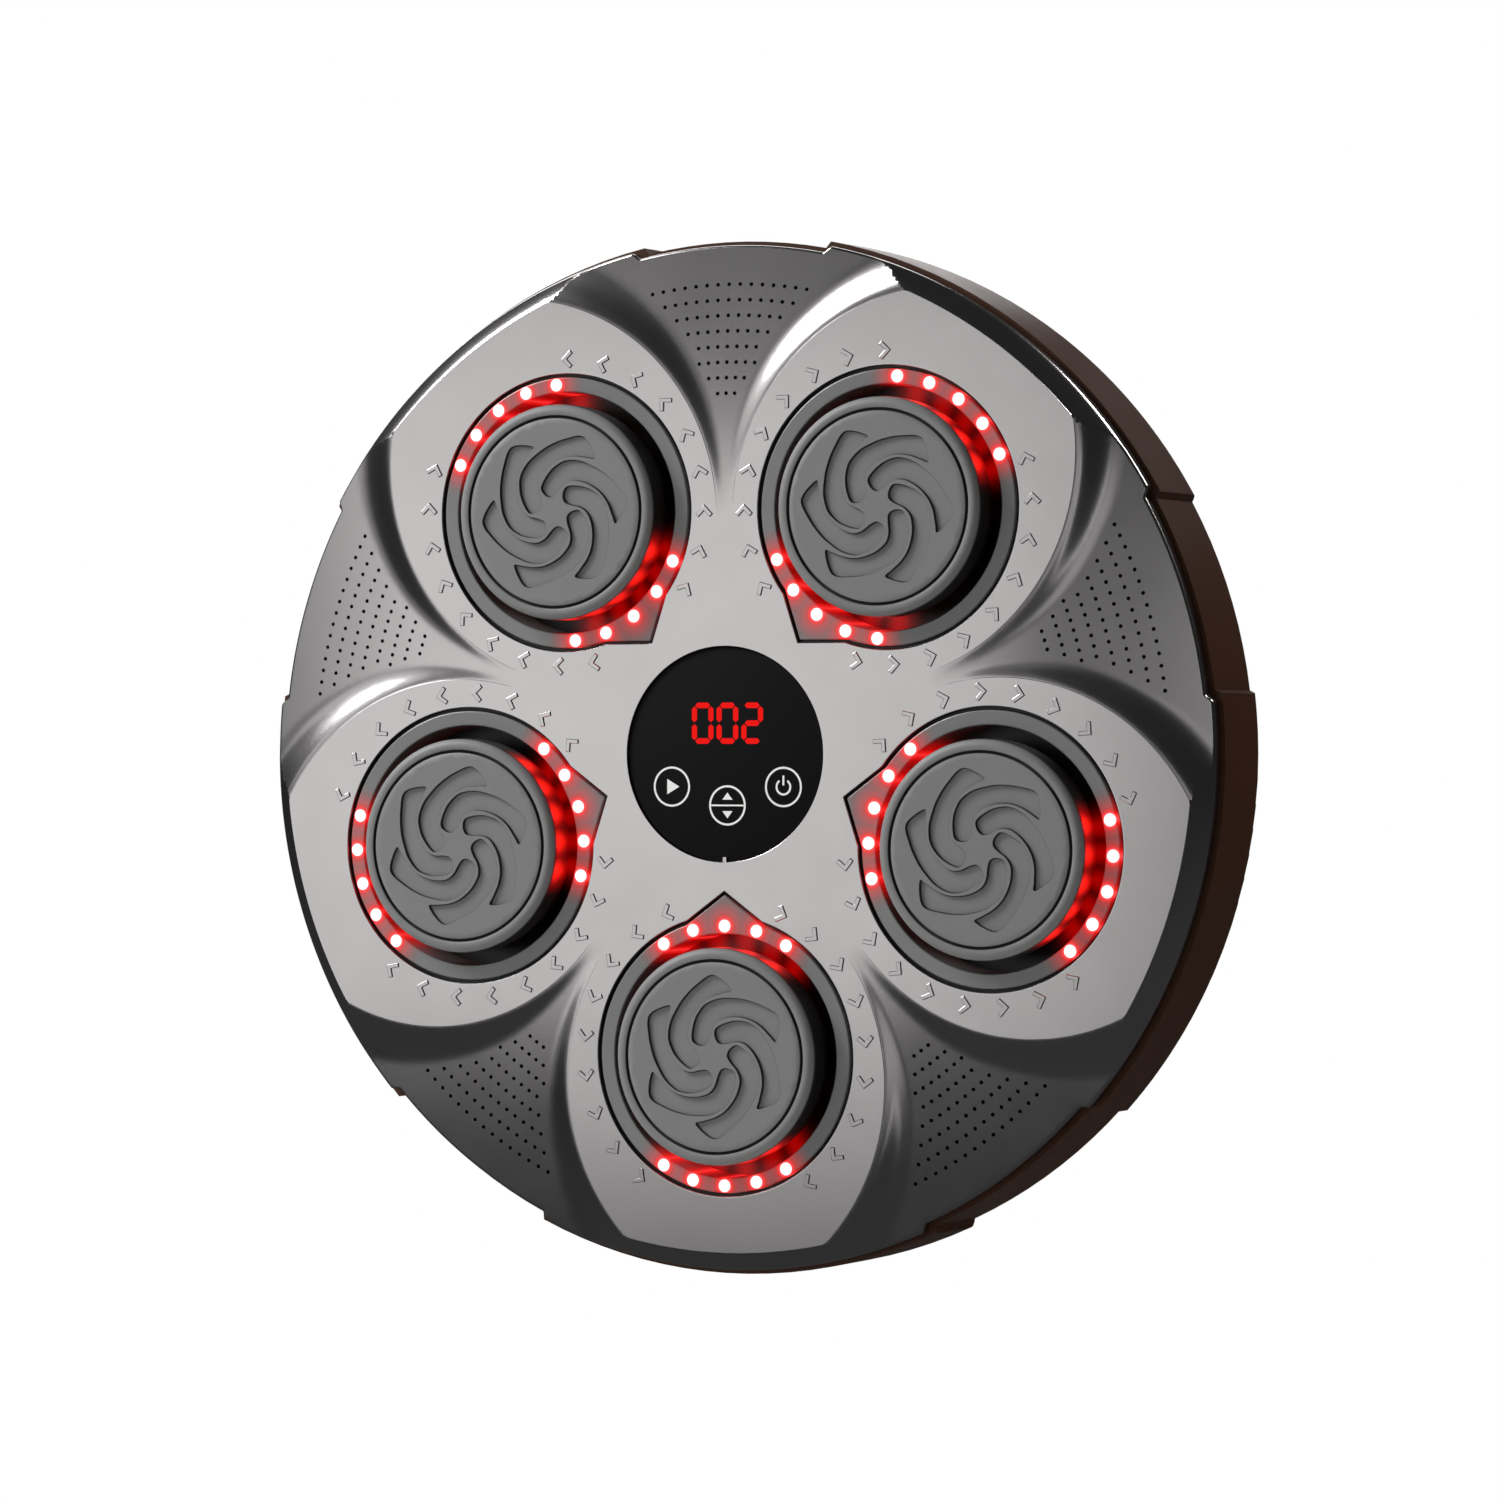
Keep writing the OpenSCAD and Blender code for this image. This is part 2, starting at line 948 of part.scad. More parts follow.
function usb_post_x() = usb_board[0] / 2 - 3;
function usb_back_y() = -housing_r + wall + 3;
function usb_post_y() = usb_back_y() + usb_board[1] - 3.5;

module charge_board() {
    color("darkgreen")
        upright()
            difference() {
                translate([-usb_board[0] / 2, usb_back_y(), usb_z - usb_board[2]])
                    cube(usb_board);
                for (x = [-1, 1])
                    translate([x * usb_post_x(), usb_post_y(), usb_z - usb_board[2] - 1])
                        cylinder(h = usb_board[2] + 2, r = board_screw[0] / 2 + 0.2);
            }
}

module usb_socket() {
    t = 0.35;
    color("silver")
        upright()
            translate([0, -housing_r + usb_recess, usb_z])
                difference() {
                    translate([-usb_w / 2, 0, 0]) cube([usb_w, usb_depth, usb_h]);
                    translate([-usb_w / 2 + t, -1, t])
                        cube([usb_w - 2 * t, usb_depth, usb_h - 2 * t]);
                }
}

// Screws ------------------------------------------------------------------------

// A screw with its head below height 0 and its thread above
module screw(thread_d, head_d, head_h, length) {
    cylinder(h = length, d = thread_d);
    difference() {
        lift(-head_h) cylinder(h = head_h, d = head_d);
        for (turn = [0, 90])
            rotate([0, 0, turn])
                translate([-head_d * 0.3, -0.3, -head_h - 1])
                    cube([head_d * 0.6, 0.6, 1 + head_h * 0.45]);
    }
}

module case_screws() {
    color("dimgray")
        upright()
            for (a = case_screw_angles())
                rotate([0, 0, a - 90])
                    translate([case_screw_r, 0, case_screw_seat])
                        screw(case_screw[0], case_screw[1], case_screw[2], 20);
}

module cup_screws() {
    color("dimgray")
        upright()
            each_pad()
                for (a = ear_angles)
                    translate(concat(polar(ear_r, a), ear_top - wall))
                        screw(cup_screw[0], cup_screw[1], cup_screw[2], wall + 3.5);
}

// Screws that hold the round boards, the bracket and the charging board
module board_screws() {
    color("dimgray")
        upright() {
            for (p = board_screw_points())
                translate([p[0], p[1], p[2] + p[3]])
                    mirror([0, 0, 1])
                        screw(board_screw[0], board_screw[1], board_screw[2], p[3] + 5);
            for (k = post_valleys)
                at_valley(k)
                    translate([post_circle_r, 0, control_board_z])
                        screw(board_screw[0], board_screw[1], board_screw[2], board_t + 6);
        }
}

// [x, y, height of the seat, thickness of what is screwed down]
function board_screw_points() = concat(
    [for (i = PADS) concat(polar(standoff_circle_r, valley_angle(i)), main_board_z, board_t)],
    [for (side = [-1, 1]) [0, side * bracket_foot_y(), bracket_foot_z(), bracket_t]],
    [for (x = [-1, 1]) [x * usb_post_x(), usb_post_y(), usb_z - usb_board[2], usb_board[2]]]
);

front_cover();
rear_housing();
display_lens();
digit_module();
digit_segments();
touch_springs();
control_board();
main_board();
display_cable();
led_cables();
battery_pack();
battery_bracket();
speaker_frame();
speaker_cone();
usb_socket();
charge_board();
case_screws();
cup_screws();
board_screws();
led_chips();
impact_sensors();
bump_stops();
for (i = PADS) light_ring(i);
for (i = PADS) led_board(i);
for (i = PADS) well_cup(i);
for (i = PADS) pad_cushion(i);
for (i = PADS) pad_carrier(i);
for (i = PADS) pad_spring(i);
for (i = PADS) stop_screws(i);
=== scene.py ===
import bpy
import math
import numpy as np
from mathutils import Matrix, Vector
from mathutils.geometry import delaunay_2d_cdt


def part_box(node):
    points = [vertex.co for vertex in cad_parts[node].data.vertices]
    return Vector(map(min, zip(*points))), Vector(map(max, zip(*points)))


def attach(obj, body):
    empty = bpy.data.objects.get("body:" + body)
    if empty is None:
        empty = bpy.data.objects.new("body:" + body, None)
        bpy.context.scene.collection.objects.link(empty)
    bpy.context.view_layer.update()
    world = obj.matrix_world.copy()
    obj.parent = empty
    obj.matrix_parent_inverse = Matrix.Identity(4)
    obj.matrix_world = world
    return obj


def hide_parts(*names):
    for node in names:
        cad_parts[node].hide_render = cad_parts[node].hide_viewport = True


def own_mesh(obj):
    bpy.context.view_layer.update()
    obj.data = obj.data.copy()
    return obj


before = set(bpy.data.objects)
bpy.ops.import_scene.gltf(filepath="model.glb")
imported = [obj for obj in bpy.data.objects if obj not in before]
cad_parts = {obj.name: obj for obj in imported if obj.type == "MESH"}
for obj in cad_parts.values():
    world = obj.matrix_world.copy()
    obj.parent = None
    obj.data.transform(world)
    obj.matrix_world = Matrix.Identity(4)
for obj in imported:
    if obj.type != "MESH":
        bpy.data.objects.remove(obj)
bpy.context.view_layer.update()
print("frame loaded:", len(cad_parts), "nodes")

# Shapes are worked out in millimetres on a machine lying on its back: x right, y up the wall,
# z out of the wall. standUp() turns them into the frame, in metres.


def nodeBox(node):
    low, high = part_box(node)
    return (Vector((low.x, low.z, -high.y)) * 1000, Vector((high.x, high.z, -low.y)) * 1000)


def standUp(points):
    points = np.asarray(points, float)
    return np.stack([points[:, 0], -points[:, 2], points[:, 1]], 1) / 1000


def turned(points, degrees):
    points = np.array(points, float)
    c, s = math.cos(math.radians(degrees)), math.sin(math.radians(degrees))
    x, y = points[:, 0].copy(), points[:, 1].copy()
    points[:, 0], points[:, 1] = c * x - s * y, s * x + c * y
    return points


padNumbers = range(1, 6)
petalTurn = 360 / len(padNumbers)
petalTurns = [petalTurn * i for i in range(len(padNumbers))]
caseRadius = nodeBox("front_cover")[1].x
padLow, padHigh = nodeBox("pad_cushion_1")
padRadius = (padHigh.x - padLow.x) / 2
padCircle = -(padLow.y + padHigh.y) / 2
ringLow, ringHigh = nodeBox("light_ring_1")
ringOuter = ringHigh.x
ringTip = ringHigh.y + padCircle
ringTop = ringHigh.z
faceHeight = ringTop + 0.3
lensLow, lensHigh = nodeBox("display_lens")
lensRadius = lensHigh.x

# light rings, in mm; their diodes stand in two groups, and the materials follow them too
ring = {
    "inner": ringOuter - 5.8,
    "skirt": 1.5,           # wall of the skirt that reaches into the well
    "lens": 3.2,            # thickness of the lit part
    "edge": 0.5,            # rounded edges
    "ledRadius": 50.26,
    "ledPitch": 15.63,      # degrees
    "ledSide": 5,           # diodes in a group
}


# drawn round a pad's centre with +y to the middle of the case
def atPad(points, number):
    points = np.array(points, float)
    points[:, 1] -= padCircle
    return turned(points, petalTurn * (number - 1))


# Materials


def linear(hexColour):
    parts = [int(hexColour[i:i + 2], 16) / 255 for i in (1, 3, 5)]
    return tuple(p / 12.92 if p < 0.04045 else ((p + 0.055) / 1.055) ** 2.4 for p in parts) + (1,)


def addNode(tree, kind, settings=None, sockets=None, links=None):
    node = tree.nodes.new(kind)
    for key, value in (settings or {}).items():
        setattr(node, key, value)
    for key, value in (sockets or {}).items():
        node.inputs[key].default_value = value
    for key, source in (links or {}).items():
        tree.links.new(source, node.inputs[key])
    return node


def newMaterial(name, **sockets):
    material = bpy.data.materials.new(name)
    material.use_nodes = True
    tree = material.node_tree
    shader = tree.nodes["Principled BSDF"]
    for key, value in sockets.items():
        shader.inputs[key.replace("_", " ")].default_value = value
    return material, tree, shader


# fine moulded or sprayed grain: a bump, and a little change of roughness
def grain(tree, shader, scaleMm, height, detail=2.0, roughRange=None):
    where = addNode(tree, "ShaderNodeTexCoord")
    noise = addNode(tree, "ShaderNodeTexNoise", None,
                    {"Scale": 1000 / scaleMm, "Detail": detail},
                    {"Vector": where.outputs["Object"]})
    bump = addNode(tree, "ShaderNodeBump", None, {"Distance": height / 1000, "Strength": 1.0},
                   {"Height": noise.outputs["Fac"]})
    tree.links.new(bump.outputs["Normal"], shader.inputs["Normal"])
    if roughRange:
        spread = addNode(tree, "ShaderNodeTexNoise", None, {"Scale": 40.0, "Detail": 3.0},
                         {"Vector": where.outputs["Object"]})
        ramp = addNode(tree, "ShaderNodeMapRange", None,
                       {"To Min": roughRange[0], "To Max": roughRange[1]},
                       {"Value": spread.outputs["Fac"]})
        tree.links.new(ramp.outputs["Result"], shader.inputs["Roughness"])
    return noise


def silverLacquer():
    # metallic lacquer sprayed on moulded ABS: soft metal gloss under a thin clear coat
    material, tree, shader = newMaterial("silverLacquer", Base_Color=linear("#b4b1b1"), Metallic=1.0,
                                         Roughness=0.2, Coat_Weight=0.1, Coat_Roughness=0.1)
    grain(tree, shader, 0.5, 0.0015, 3.0, (0.18, 0.23))
    return material


def brownHousingAbs():
    # moulded ABS with a fine spark-eroded texture, dark brown-black
    material, tree, shader = newMaterial("brownHousingAbs", Base_Color=linear("#42230f"), Roughness=0.5,
                                         IOR=1.53, Specular_IOR_Level=0.3)
    grain(tree, shader, 0.6, 0.02, 4.0, (0.36, 0.48))
    return material


def blackAbs():
    # plain moulded black ABS inside the case
    material, tree, shader = newMaterial("blackAbs", Base_Color=linear("#141414"), Roughness=0.45, IOR=1.53)
    grain(tree, shader, 0.7, 0.015, 2.0, (0.4, 0.5))
    return material


def blackAcrylic():
    # black acrylic with an anti-glare satin face
    material, tree, shader = newMaterial("blackAcrylic", Base_Color=linear("#0e0e0e"), Roughness=0.5,
                                         IOR=1.49, Specular_IOR_Level=0.12)
    grain(tree, shader, 0.5, 0.001, 2.0, (0.46, 0.54))
    return material


def colourRamp(tree, source, shader, socket, stops):
    value = source.outputs["Fac"] if "Fac" in source.outputs else source.outputs[0]
    ramp = addNode(tree, "ShaderNodeValToRGB", None, None, {"Fac": value})
    elements = ramp.color_ramp.elements
    for place, colour in stops[1:-1]:
        elements.new(place).color = colour
    elements[0].color = stops[0][1]
    elements[-1].color = stops[-1][1]
    tree.links.new(ramp.outputs["Color"], shader.inputs[socket])


def whitePrint():
    # silk-screened white ink, with a faint painted glow as emission
    ink = linear("#dcdcda")
    material, tree, shader = newMaterial("whitePrint", Base_Color=ink, Roughness=0.5, Emission_Color=ink,
                                         Emission_Strength=0.25)
    grain(tree, shader, 0.3, 0.002)
    return material


def greySilicone():
    # moulded grey silicone rubber, with painted shade and painted light: its side below the face and the
    # walls of its cut lines painted near black, and red light from the diodes painted on its side as emission
    material, tree, shader = newMaterial("greySilicone", Roughness=0.5, IOR=1.43, Sheen_Weight=0.05,
                                         Emission_Strength=1.0)
    grain(tree, shader, 0.8, 0.012, 4.0, (0.46, 0.56))
    # painted shade: near black on the pad's side and on the walls of its cut lines
    dark = addNode(tree, "ShaderNodeAttribute", {"attribute_name": "blackShot"})
    colourRamp(tree, dark, shader, "Base Color", ((0.0, linear("#808080")), (1.0, linear("#0b0b0b"))))
    # painted red light from the diodes on the pad's side, as emission
    glow = addNode(tree, "ShaderNodeAttribute", {"attribute_name": "ledGlow"})
    colourRamp(tree, glow, shader, "Emission Color",
               ((0.0, (0, 0, 0, 1)), (0.3, (0.22, 0.0, 0.0, 1)),
                (0.8, (1.1, 0.008, 0.003, 1)), (1.0, (1.3, 0.012, 0.004, 1))))
    return material


def calc(tree, operation, a, b=0.0):
    fixed = {k: v for k, v in ((0, a), (1, b)) if isinstance(v, (int, float))}
    linked = {k: v for k, v in ((0, a), (1, b)) if not isinstance(v, (int, float))}
    return addNode(tree, "ShaderNodeMath", {"operation": operation}, fixed, linked).outputs[0]


def diagonal(tree, a, b):
    squares = calc(tree, "ADD", calc(tree, "POWER", a, 2.0), calc(tree, "POWER", b, 2.0))
    return calc(tree, "SQRT", squares)


# degrees and mm from the nearest lit diode, and mm from the pad's axis
def ledField(tree):
    place = addNode(tree, "ShaderNodeTexCoord").outputs["Object"]
    spot = addNode(tree, "ShaderNodeSeparateXYZ", None, None, {"Vector": place})
    x, y = (calc(tree, "MULTIPLY", spot.outputs[key], 1000.0) for key in "XZ")
    petal = math.radians(petalTurn)
    heading = calc(tree, "ADD", calc(tree, "ARCTAN2", y, x), math.pi / 2)
    petals = calc(tree, "ROUND", calc(tree, "DIVIDE", heading, petal))
    off = calc(tree, "ADD", heading, calc(tree, "MULTIPLY", petals, -petal))
    reach = diagonal(tree, x, y)
    across = calc(tree, "MULTIPLY", reach, calc(tree, "SINE", off))
    out = calc(tree, "SUBTRACT", calc(tree, "MULTIPLY", reach, calc(tree, "COSINE", off)), padCircle)
    out = calc(tree, "ABSOLUTE", out)    # both groups of lights folded on to one
    radius = diagonal(tree, across, out)
    angle = calc(tree, "MULTIPLY", calc(tree, "ARCTAN2", across, out), 180 / math.pi)
    nearest = calc(tree, "ROUND", calc(tree, "DIVIDE", angle, ring["ledPitch"]))
    last = (ring["ledSide"] - 1) / 2
    nearest = calc(tree, "MINIMUM", calc(tree, "MAXIMUM", nearest, -last), last)
    miss = calc(tree, "SUBTRACT", angle, calc(tree, "MULTIPLY", nearest, ring["ledPitch"]))
    turn = calc(tree, "MULTIPLY", miss, math.pi / 180)
    along = calc(tree, "MULTIPLY", radius, calc(tree, "SINE", turn))
    away = calc(tree, "MULTIPLY", radius, calc(tree, "COSINE", turn))
    away = calc(tree, "SUBTRACT", away, ring["ledRadius"])
    return miss, diagonal(tree, along, away), radius


def wellAbs():
    # moulded black ABS with a painted red reflection of the lights beside it, as emission: on its walls and
    # inside the well only
    material, tree, shader = newMaterial("wellAbs", Base_Color=linear("#0b0b0b"), Roughness=0.4, IOR=1.53,
                                         Emission_Strength=1.0)
    grain(tree, shader, 0.7, 0.01, 2.0, (0.35, 0.45))
    miss, distance, radius = ledField(tree)
    normal = addNode(tree, "ShaderNodeTexCoord").outputs["Normal"]
    facing = addNode(tree, "ShaderNodeSeparateXYZ", None, None, {"Vector": normal})
    spread = calc(tree, "POWER", calc(tree, "DIVIDE", miss, 7.5), 2.0)
    near = calc(tree, "EXPONENT", calc(tree, "MULTIPLY", spread, -1.0))
    near = calc(tree, "MULTIPLY", near, calc(tree, "LESS_THAN", radius, 47.5))
    glow = addNode(tree, "ShaderNodeMath", {"operation": "MULTIPLY"}, None,
                   {0: near, 1: calc(tree, "LESS_THAN", facing.outputs["Y"], 0.3)})
    colourRamp(tree, glow, shader, "Emission Color",
               ((0.0, (0, 0, 0, 1)), (0.5, (0.12, 0.0, 0.0, 1)), (1.0, (0.36, 0.0, 0.0, 1))))
    return material


def smokedPolycarbonate():
    # translucent smoke-grey light ring, lit from behind by round red lights; its base colour is painted dark
    # red where the lights glow through
    material, tree, shader = newMaterial("smokedPolycarbonate", Roughness=0.3, IOR=1.58,
                                         Emission_Strength=1.0)
    grain(tree, shader, 0.8, 0.004, 2.0, (0.26, 0.34))
    far = addNode(tree, "ShaderNodeMath", {"operation": "DIVIDE"}, {1: 12.0}, {0: ledField(tree)[1]})
    colourRamp(tree, far, shader, "Base Color",
               ((0.0, linear("#280a0a")), (0.22, linear("#280a0a")),
                (0.42, linear("#6c5e5e")), (1.0, linear("#787878"))))
    colourRamp(tree, far, shader, "Emission Color",
               ((0.0, (2.4, 1.9, 1.9, 1)), (0.185, (2.2, 1.5, 1.5, 1)), (0.215, (1.3, 0.09, 0.09, 1)),
                (0.27, (0.8, 0.01, 0.01, 1)), (0.38, (0.36, 0.0, 0.0, 1)), (0.57, (0.19, 0.0, 0.0, 1)),
                (0.8, (0.04, 0.0, 0.0, 1)), (1.0, (0.0, 0.0, 0.0, 1))))
    return material


def litSilicon():
    # face of a lit diode under its clear dome: white-hot middle
    material, tree, shader = newMaterial("litSilicon", Base_Color=linear("#ffd8d4"), Roughness=0.3,
                                         Emission_Color=(1.0, 0.78, 0.76, 1), Emission_Strength=1.6)
    grain(tree, shader, 0.4, 0.002)
    return material


def litRedBar():
    # moulded light guide of a seven-bar digit
    material, tree, shader = newMaterial("litRedBar", Base_Color=linear("#300404"), Roughness=0.6,
                                         Specular_IOR_Level=0.1, Emission_Color=(0.82, 0.004, 0.002, 1),
                                         Emission_Strength=1.0)
    grain(tree, shader, 0.4, 0.002)
    return material


def plainMaterial(name, colour, roughness, metallic=0.0, scaleMm=0.8, height=0.01):
    material, tree, shader = newMaterial(name, Base_Color=linear(colour), Roughness=roughness,
                                         Metallic=metallic)
    grain(tree, shader, scaleMm, height, 3.0, (roughness - 0.04, roughness + 0.05))
    return material


def solderMask():
    # green lacquer over copper tracks on glass fibre
    material, tree, shader = newMaterial("solderMask", Roughness=0.25, IOR=1.5)
    where = addNode(tree, "ShaderNodeTexCoord")
    tracks = addNode(tree, "ShaderNodeTexBrick", None,
                     {"Scale": 260.0, "Mortar Size": 0.03, "Color1": linear("#0c3a1f"),
                      "Color2": linear("#0e4526"), "Mortar": linear("#1b6a3c")},
                     {"Vector": where.outputs["Object"]})
    tree.links.new(tracks.outputs["Color"], shader.inputs["Base Color"])
    return material


finishes = {
    "silver": silverLacquer(),
    "housing": brownHousingAbs(),
    "black": blackAbs(),
    "acrylic": blackAcrylic(),
    "print": whitePrint(),
    "silicone": greySilicone(),
    "smoke": smokedPolycarbonate(),
    "well": wellAbs(),
    "diode": litSilicon(),
    "barLit": litRedBar(),
    "board": solderMask(),
    "steel": plainMaterial("platedSteel", "#b9b9b6", 0.28, 1.0, 0.4, 0.003),
    "screw": plainMaterial("blackOxideSteel", "#3a3a3c", 0.38, 0.9, 0.4, 0.004),
    "ribbon": plainMaterial("ribbonPvc", "#d8d6cf", 0.45),
    "wrap": plainMaterial("shrinkWrapPvc", "#1f4fa0", 0.25, 0.0, 1.5, 0.02),
    "paper": plainMaterial("pressedPaper", "#232323", 0.85, 0.0, 0.7, 0.05),
    "brass": plainMaterial("piezoBrass", "#c8a050", 0.3, 1.0, 0.5, 0.004),
    "rubber": plainMaterial("blackRubber", "#1a1a1a", 0.7, 0.0, 0.8, 0.02),
}
print("materials:", len(finishes))

# Making pieces


def placePiece(name, mesh, body, replaced=()):
    piece = bpy.data.objects.new(name, mesh)
    bpy.context.scene.collection.objects.link(piece)
    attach(piece, body)
    if replaced:
        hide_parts(*replaced)
    return piece


def makePiece(name, points, faces, finish, body, replaced=(), smooth=True, normals=None):
    mesh = bpy.data.meshes.new(name)
    mesh.from_pydata(standUp(points).tolist(), [], [list(map(int, f)) for f in faces])
    mesh.update()
    mesh.polygons.foreach_set("use_smooth", [smooth] * len(mesh.polygons))
    mesh.materials.append(finishes[finish])
    if normals is not None:
        mesh.normals_split_custom_set(normals)
    return placePiece(name, mesh, body, replaced)


# faces of rows of points that run round; the last row joins the first if closed
def gridFaces(count, columns, closed=True):
    faces = []
    for r in range(count if closed else count - 1):
        low, high = r * columns, ((r + 1) % count) * columns
        for c in range(columns):
            after = (c + 1) % columns
            faces.append((high + c, high + after, low + after, low + c))
    return faces


# triangles over points and the lines between them, drawn anticlockwise, less what keep() drops
def triangulate(points, edges, keep):
    made = delaunay_2d_cdt([Vector(p) for p in points], edges, [], 0, 1e-5)
    plan = np.array([tuple(v) for v in made[0]])
    faces = np.array([f for f in made[2] if len(f) == 3])
    faces = faces[keep(plan[faces].mean(1))]
    area = np.cross(plan[faces[:, 1]] - plan[faces[:, 0]], plan[faces[:, 2]] - plan[faces[:, 0]])
    faces[area < 0] = faces[area < 0][:, ::-1]
    faces = faces[np.abs(area) > 1e-9]
    used = np.unique(faces)
    index = -np.ones(len(plan), int)
    index[used] = np.arange(len(used))
    return plan[used], index[faces]


# normals of a face whose depth at a place is drop(x, y), measured over 2 * reach
def slopeNormals(drop, x, y, reach):
    gx = (drop(x + reach, y) - drop(x - reach, y)) / (2 * reach)
    gy = (drop(x, y + reach) - drop(x, y - reach)) / (2 * reach)
    n = np.stack([gx, gy, np.ones_like(gx)], 1)
    return n / np.linalg.norm(n, axis=1)[:, None]


# lines of points for triangulate(), kept with the edges between neighbours
class Lines:
    def __init__(self):
        self.points = []
        self.edges = []

    def add(self, line, closed=True):
        start = sum(len(p) for p in self.points)
        count = len(line)
        self.points.append(np.asarray(line, float)[:, :2])
        self.edges.extend((start + k, start + (k + 1) % count) for k in range(count if closed else count - 1))


def sharpen(piece, degrees):
    piece.data.set_sharp_from_angle(angle=math.radians(degrees))


# Geometry nodes


# a tree that sets one small shape on every point of a mesh, turned by the point's own angle
def scatterTree(name, build):
    tree = bpy.data.node_groups.new(name, "GeometryNodeTree")
    tree.interface.new_socket("Points", in_out="INPUT", socket_type="NodeSocketGeometry")
    tree.interface.new_socket("Geometry", in_out="OUTPUT", socket_type="NodeSocketGeometry")
    for key in build["sizes"]:
        tree.interface.new_socket(key, in_out="INPUT", socket_type="NodeSocketFloat")
    tree.interface.new_socket("Material", in_out="INPUT", socket_type="NodeSocketMaterial")
    entry = addNode(tree, "NodeGroupInput")
    shape = build["shape"](tree, entry)
    angle = addNode(tree, "GeometryNodeInputNamedAttribute", {"data_type": "FLOAT_VECTOR"},
                    {"Name": "turn"})
    placed = addNode(tree, "GeometryNodeInstanceOnPoints", None, None,
                     {"Points": entry.outputs["Points"], "Instance": shape,
                      "Rotation": angle.outputs["Attribute"]})
    real = addNode(tree, "GeometryNodeRealizeInstances", None, None,
                   {"Geometry": placed.outputs["Instances"]})
    painted = addNode(tree, "GeometryNodeSetMaterial", None, None,
                      {"Geometry": real.outputs["Geometry"], "Material": entry.outputs["Material"]})
    addNode(tree, "NodeGroupOutput", None, None, {"Geometry": painted.outputs["Geometry"]})
    return tree


# runs the tree on its points and returns a plain mesh; places are standing up, in metres
def scatter(name, build, places, turns, finish):
    seed = bpy.data.meshes.new(name + "Points")
    seed.from_pydata(np.asarray(places).tolist(), [], [])
    turn = seed.attributes.new("turn", "FLOAT_VECTOR", "POINT")
    turn.data.foreach_set("vector", np.asarray(turns, float).ravel())
    carrier = bpy.data.objects.new(name + "Points", seed)
    bpy.context.scene.collection.objects.link(carrier)
    modifier = carrier.modifiers.new(name, "NODES")
    modifier.node_group = scatterTree(name + "Tree", build)
    for item in modifier.node_group.interface.items_tree:
        if item.in_out == "INPUT" and item.name in build["sizes"]:
            modifier[item.identifier] = build["sizes"][item.name]
        if item.in_out == "INPUT" and item.name == "Material":
            modifier[item.identifier] = finishes[finish]
    bpy.context.view_layer.update()
    evaluated = carrier.evaluated_get(bpy.context.evaluated_depsgraph_get())
    mesh = bpy.data.meshes.new_from_object(evaluated)
    mesh.name = name
    mesh.materials.clear()      # the shape's own empty slot comes along first
    mesh.materials.append(finishes[finish])
    bpy.data.objects.remove(carrier)
    return mesh


# Front cover

cover = {
    "sideAcross": 20.0,     # centres of the petals' side arcs, from the petal's axis
    "sideOut": 10.3,        # and how far they lie beyond the pad's centre
    "land": 13.1,           # flat between the ring's groove and the side, at the widest
    "groove": 1.4,          # gap round a light ring
    "edgeLand": 7.1,        # from the petal's outer edge to the edge of the case
    "edgeStep": 2.8,        # how far the hollows step in at the edge of the case
    "notchAngles": (11.35, 12.4),   # degrees from a hollow's middle to both ends of its notch
    "rimDrop": 6.0,
    "plateStep": 0.3,       # the petals' flat faces stand a little proud of their flanks
    "floorStart": 92.0,     # the hollows leave the face's level here
    "floorPower": 1.5,      # and sink faster towards the rim
    # width of a flank, at a distance from the middle of the case
    "flankWidths": ((95, 3.5), (120, 6.5), (135, 9.0), (150, 11.5), (175, 15.0), (200, 20.0)),
    "flankTail": 1.4,       # how long the flanks run out on the floors of the hollows
    "fillet": 0.3,          # round the openings
    "edgeRound": 1.1,       # along the outline
    "wall": 2.4,
    "lipHeight": 5.5,
    # rows of points, as distances from the petals' edges and from the outline
    "faceRows": (-0.5, -0.04, 0.0, 0.03, 0.06, 0.09, 0.12, 0.16, 0.25, 0.55),
    "flankRows": (0.7, 1.4, 2.2, 3.1, 4.1, 5.2, 6.4, 7.7, 9.1, 10.6, 12.2, 14, 16, 18, 20, 22.5, 25),
    "rimRows": (1.6, 2.4, 3.3, 4.3, 5.4, 6.3, 6.7),
}
cover["sideRadius"] = ringOuter + cover["groove"] + cover["land"] + cover["sideAcross"]
pointHalf = math.radians(54)    # half the angle of a light ring's point
lensOpening = lensRadius + 0.12


def smooth(t):
    t = np.clip(t, 0, 1)
    return t * t * (3 - 2 * t)


# distance across and out along the nearest petal's axis, and the angle from it in degrees
def petalFrame(x, y):
    r = np.hypot(x, y)
    off = (np.degrees(np.arctan2(y, x)) + 90 + petalTurn / 2) % petalTurn - petalTurn / 2
    return r * np.sin(np.radians(np.abs(off))), r * np.cos(np.radians(off)), off, r


# distance outside a petal's side arcs
def sideDistance(x, y):
    across, out = petalFrame(x, y)[:2]
    return np.hypot(across + cover["sideAcross"], out - padCircle - cover["sideOut"]) - cover["sideRadius"]


def outlineRadius(degrees, inset=0.0):
    fromHollow = np.abs((np.asarray(degrees) + 90) % petalTurn - petalTurn / 2)
    a, b = cover["notchAngles"]
    return caseRadius - cover["edgeStep"] * (1 - smooth((fromHollow - a) / (b - a))) - inset


# distance outside a disc with a point towards +y
def pointedDistance(x, y, radius):
    tip = radius + ringTip - ringOuter
    disc = np.hypot(x, y) - radius
    point = np.abs(x) / math.tan(pointHalf) + y - tip
    return np.where(y > tip * math.sin(pointHalf) ** 2, np.minimum(disc, point), disc)


